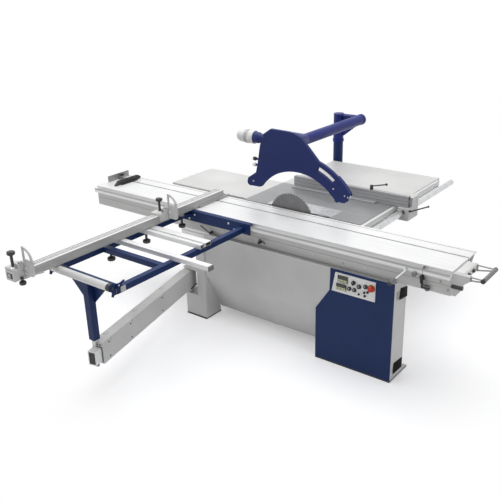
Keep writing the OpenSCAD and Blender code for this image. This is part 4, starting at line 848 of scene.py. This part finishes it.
# one display: frame, dark upper half, lit lower half and the digits' places on it
def addDisplay(s, i, x0, z0, x1, z1):
    py = s["y"]
    middle = z0 + (z1 - z0) * 0.45
    plate(f"displayFrame{i}", (x0, py - 6.6, z0), (x1, py - 3, z1), "machine", "black_plastic", 1.2)
    plate(f"displayGlass{i}", (x0 + 4, py - 7.4, middle), (x1 - 4, py - 6, z1 - 4), "machine", "displayGrey",
          0.5)
    plate(f"displayLit{i}", (x0 + 4, py - 7.9, z0 + 3), (x1 - 4, py - 6, middle - 1), "machine", "litSegment",
          0.4)
    for k in range(s["digits"]):
        x = x0 + s["digitX"] + k * s["digitPitch"]
        plate(f"digit{i}n{k}", (x, py - 8.3, z0 + 7), (x + s["digitW"], py - 7.6, middle - 5), "machine",
              "darkGlass", 0.2)


# one round cap, with a pale mark if it is a large one
def addCap(s, i, x, z, r):
    py = s["y"]
    rings = [(0, r + 2.5), (2, r + 2.5), (3, r + 0.8), (9, r + 0.6), (12, r - 1.5), (12.6, r - 4)]
    turned(f"panelCap{i}", (x, py - 0.2, z), "-y", rings, "machine", "black_plastic")
    if r > 10:
        plate(f"capMark{i}", (x - 1.4, py - 13.6, z - 2), (x + 1.4, py - 12.2, z + r - 3), "machine",
              "white_plastic", 0.2)


def dressPanel(s):
    px, pz, py = s["x"], s["z"], s["y"]
    for i, (x0, z0, x1, z1) in enumerate(s["displays"]):
        addDisplay(s, i, px + x0, pz + z0, px + x1, pz + z1)
    for i, (x, z, r) in enumerate(s["caps"]):
        addCap(s, i, px + x, pz + z, r)
    for i, (x, z) in enumerate(s["screws"]):
        bolt(f"plateScrew{i}", (px + x, py, pz + z), "-y", 4, "machine")
    plate("selectorMark", *s["mark"], "selector", "white_plastic", 0.2)
    x, z = s["stop"]
    turned("stopRing", (x, py, z), "-y", s["stopRing"], "machine", "amberPlastic", slot="red_plastic")
    head = turned("stopHead", (x, py + 0.7, z), "-y", s["stopHead"], "stop_button", "red_plastic",
                  slot="red_plastic", angle=60)
    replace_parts(head, "emergency_stop")


dressPanel(panel)

# cabinet: two vent panels with louvres, drawn on its side face
cabinet = {"x": 1104, "panelX": (-1, 2.5), "slatX": (2, 5.4), "slats": 6, "inset": 7, "slatZ": (-2, 3),
           "vents": [[(-372, 594), (-362, 676), (-262, 653), (-256, 577)],
                     [(-404, 44), (-398, 131), (-272, 118), (-276, 42)]]}


def ventCabinet(s):
    x = s["x"]
    low, high = s["slatZ"]
    for i, corners in enumerate(s["vents"]):
        a, b = s["panelX"]
        cutSheet(f"ventPanel{i}", corners, "x", (x + a, x + b), "machine", "ventBlack", 0.6)
        (ya, za), (yb, zb), (yc, zc), (yd, zd) = corners
        a, b = s["slatX"]
        for k in range(s["slats"]):
            t = (k + 0.8) / (s["slats"] + 0.6)
            y0, z0 = ya + (yb - ya) * t + s["inset"], za + (zb - za) * t
            y1, z1 = yd + (yc - yd) * t - s["inset"], zd + (zc - zd) * t
            points = [(y0, z0 + low), (y0, z0 + high), (y1, z1 + high), (y1, z1 + low)]
            cutSheet(f"louvre{i}n{k}", points, "x", (x + a, x + b), "machine", "ventBlack", 0.8)


ventCabinet(cabinet)
secondFinish("cabinet_shell", "black_plastic", (500, -460, -1), (1120, -150, 11.9))
secondFinish("left_leg", "black_plastic", (-720, -470, -1), (-500, -280, 7.9))
legStrip = {"low": (-715, -466, 0), "high": (-505, -281, 10)}
plate("footStrip0", legStrip["low"], legStrip["high"], "machine", "black_rubber", 1.0)
print("cabinet dressed")

# guard: bolts, the clamp of the hose end and two knobs
guard = {"bolt": (-344, 1070), "noseBolts": [(474, 1093), (380, 1130)], "boltR": 6, "hoodY": -12,
         "noseY": -16.4, "clamp": (-378, 0, 1415), "clampRings": [(0, 49), (1, 51.5), (29, 51.5), (30, 49)],
         "lowKnob": (-324, 0, 1200), "lowRings": [(0, 9), (4, 14), (22, 15), (28, 12), (30, 6)],
         "highKnob": (-322, 0, 1247), "highSize": (14, 26)}


def dressGuard(s):
    x, z = s["bolt"]
    bolt("hoodBolt0", (x, s["hoodY"], z), "-y", s["boltR"], "hood")
    for i, (x, z) in enumerate(s["noseBolts"]):
        bolt(f"noseBolt{i}", (x, s["noseY"], z), "-y", s["boltR"], "nose")
    turned("hoseClamp", s["clamp"], "-x", s["clampRings"], "hood", "midGreyAndShade")
    turned("hoodKnobLow", s["lowKnob"], "-x", s["lowRings"], "hood", "white_plastic")
    handKnob("hoodKnobHigh", s["highKnob"], "-x", *s["highSize"], "hood")


dressGuard(guard)
print("guard dressed")

# swing arm, drawn along its own length and turned about its pivot
arm = {"pivot": (-700, -430, 0), "turn": math.degrees(math.atan2(305, 1225)), "reach": 1262.4,
       "marksY": (-410, -783, -1140), "marks": [(-26, 0, 2.4, 40), (-6, 0, 2.4, 40), (-16, -20, 22, 2.4)],
       "markZ": (391.5, 392.6), "side": 40, "hooksY": (-480, -905, -1168), "hookZ": (358, 391),
       "screwsZ": (262, 366), "screwBack": 24,
       "mouth": [((-33.6, 252), (33.6, 256.2)), ((-33.6, 357.8), (33.6, 362)),
                 ((-34.8, 254), (-30.7, 360)), ((30.7, 254), (34.8, 360))],
       "endScrews": [(2, 376), (22, 376)], "heel": ((-38, -90, 240), (38, 46, 389)),
       "heelRibs": (-26, -13, 0, 13, 26), "heelRibY": (45, 47.2), "heelRibZ": (246, 384),
       "heelBase": ((-42, -60, 232), (42, 50, 239)), "beamHalf": 23, "beamZ": (264, 350),
       "beamBack": (66, 62), "clamp": (10, 34, 256), "clampSize": (13, 20)}


# marks on the arm's top, and hooks and screws on both its sides
def markArm(s, turn):
    z0, z1 = s["markZ"]
    for i, y in enumerate(s["marksY"]):
        for k, (dx, dy, w, l) in enumerate(s["marks"]):
            plate(f"armMark{i}{k}", (dx - w / 2, y + dy - l / 2, z0), (dx + w / 2, y + dy + l / 2, z1), "arm",
                  "greyPlastic", 0.2, turn=turn)
    z0, z1 = s["hookZ"]
    for side in (-1, 1):
        x = side * s["side"]
        for i, y in enumerate(s["hooksY"]):
            plate(f"armHook{side + 1}{i}", (x - 0.5, y - 1.2, z0), (x + 0.5, y + 1.2, z1), "arm",
                  "greyPlastic", 0.2, turn=turn)
            for j, z in enumerate(s["screwsZ"]):
                bolt(f"armScrew{side + 1}{i}{j}", (x, y - s["screwBack"], z), "x" if side > 0 else "-x", 5,
                     "arm", "black_plastic", turn=turn)


def dressArm(s):
    turn = (s["pivot"], s["turn"])
    end = -s["reach"]
    markArm(s, turn)
    for i, ((x0, z0), (x1, z1)) in enumerate(s["mouth"]):
        plate(f"mouthFrame{i}", (x0, end - 3, z0), (x1, end + 0.4, z1), "arm", "black_plastic", 0.8,
              turn=turn)
    for i, (x, z) in enumerate(s["endScrews"]):
        bolt(f"armEndScrew{i}", (x, end, z), "-y", 5, "arm", "black_plastic", turn=turn)
    plate("armHeel", *s["heel"], "arm", "grey_paint", 2.0, turn=turn)
    (y0, y1), (z0, z1) = s["heelRibY"], s["heelRibZ"]
    for i, x in enumerate(s["heelRibs"]):
        plate(f"heelRib{i}", (x - 1, y0, z0), (x + 1, y1, z1), "arm", "greyPlastic", 0.4, turn=turn)
    plate("heelBase", *s["heelBase"], "arm", "black_plastic", 0.8, turn=turn)
    half, (z0, z1), (far, near) = s["beamHalf"], s["beamZ"], s["beamBack"]
    plate("beamMouth", (-half, end - far, z0), (half, end - near, z1), "arm_beam", "black_plastic", 0.6,
          turn=turn)
    x, back, z = s["clamp"]
    handKnob("beamClamp", (x, end - back, z), "-z", *s["clampSize"], "arm_beam", turn=turn)


dressArm(arm)
print("swing arm dressed")

# rip fence and saddle: painted shade in the face grooves, bolts, end cap and knob
ripTrim = {"y": 490, "x": (-304, 728), "grooves": (926, 950, 974), "grooveHalf": 1.4, "saddleX": 745,
           "saddleBolts": [(560, 955), (610, 955), (560, 860), (610, 860)], "endCap": (728, 509, 946),
           "endRings": [(0, 15), (2, 15), (4, 12), (4.4, 6)], "knob": (700, 487, 870),
           "knobRings": [(20, 9), (24, 17), (34, 17), (38, 13), (40, 7)]}


def dressRip(s):
    (x0, x1), y, half = s["x"], s["y"], s["grooveHalf"]
    # dark strips over the face grooves: painted shade in the recesses
    for i, z in enumerate(s["grooves"]):
        plate(f"ripGrooveShade{i}", (x0, y - 0.3, z - half), (x1, y + 0.8, z + half), "rip_profile", "greyPlastic",
              0.2)
    for i, (y, z) in enumerate(s["saddleBolts"]):
        bolt(f"saddleBolt{i}", (s["saddleX"], y, z), "x", 6, "rip_saddle")
    turned("ripEndCap", s["endCap"], "x", s["endRings"], "rip_profile", "greyPlastic")
    turned("ripKnob", s["knob"], "-y", s["knobRings"], "rip_saddle", "black_plastic")


dressRip(ripTrim)
print("rip fence dressed")

# saw blade: brazed tips round the rim, relief slots and a ring inside; outlines are (radius, angle)
blade = {"centre": (0, 0, 827), "teeth": 48, "tip": [(190.4, -0.012), (197.8, -0.014), (199.4, 0.006),
                                                    (190.4, 0.010)],
         "tipHalf": 2.1, "tipStart": 0.42, "slots": 4, "slot": [(150, -0.007), (190, -0.006), (190, 0.006),
                                                               (150, 0.007)],
         "slotHalf": 1.72, "slotStart": 0.3, "ringDepth": 1.5, "ring": [(0, 62), (0.3, 62), (0.4, 60)]}


def tipBlade(s):
    cx, cy, cz = s["centre"]
    tips = []
    for i in range(s["teeth"]):
        a = 2 * math.pi * (i + s["tipStart"]) / s["teeth"]
        points = [(cx + r * math.cos(a + w), cz + r * math.sin(a + w)) for r, w in s["tip"]]
        tips.append(cutSheet(f"tip{i}", points, "y", (cy - s["tipHalf"], cy + s["tipHalf"]), "arbor",
                             "bright_steel", 0.0))
    joinAll("carbideTips", tips)
    for i in range(s["slots"]):
        a = 2 * math.pi * (i + s["slotStart"]) / s["slots"]
        points = [(cx + r * math.cos(a + w), cz + r * math.sin(a + w)) for r, w in s["slot"]]
        cutSheet(f"reliefSlot{i}", points, "y", (cy - s["slotHalf"], cy + s["slotHalf"]), "arbor",
                 "black_plastic", 0.0)
    turned("bladeRing", (cx, cy - s["ringDepth"], cz), "-y", s["ring"], "arbor", "bright_steel", steps=64)


tipBlade(blade)
print("blade dressed")
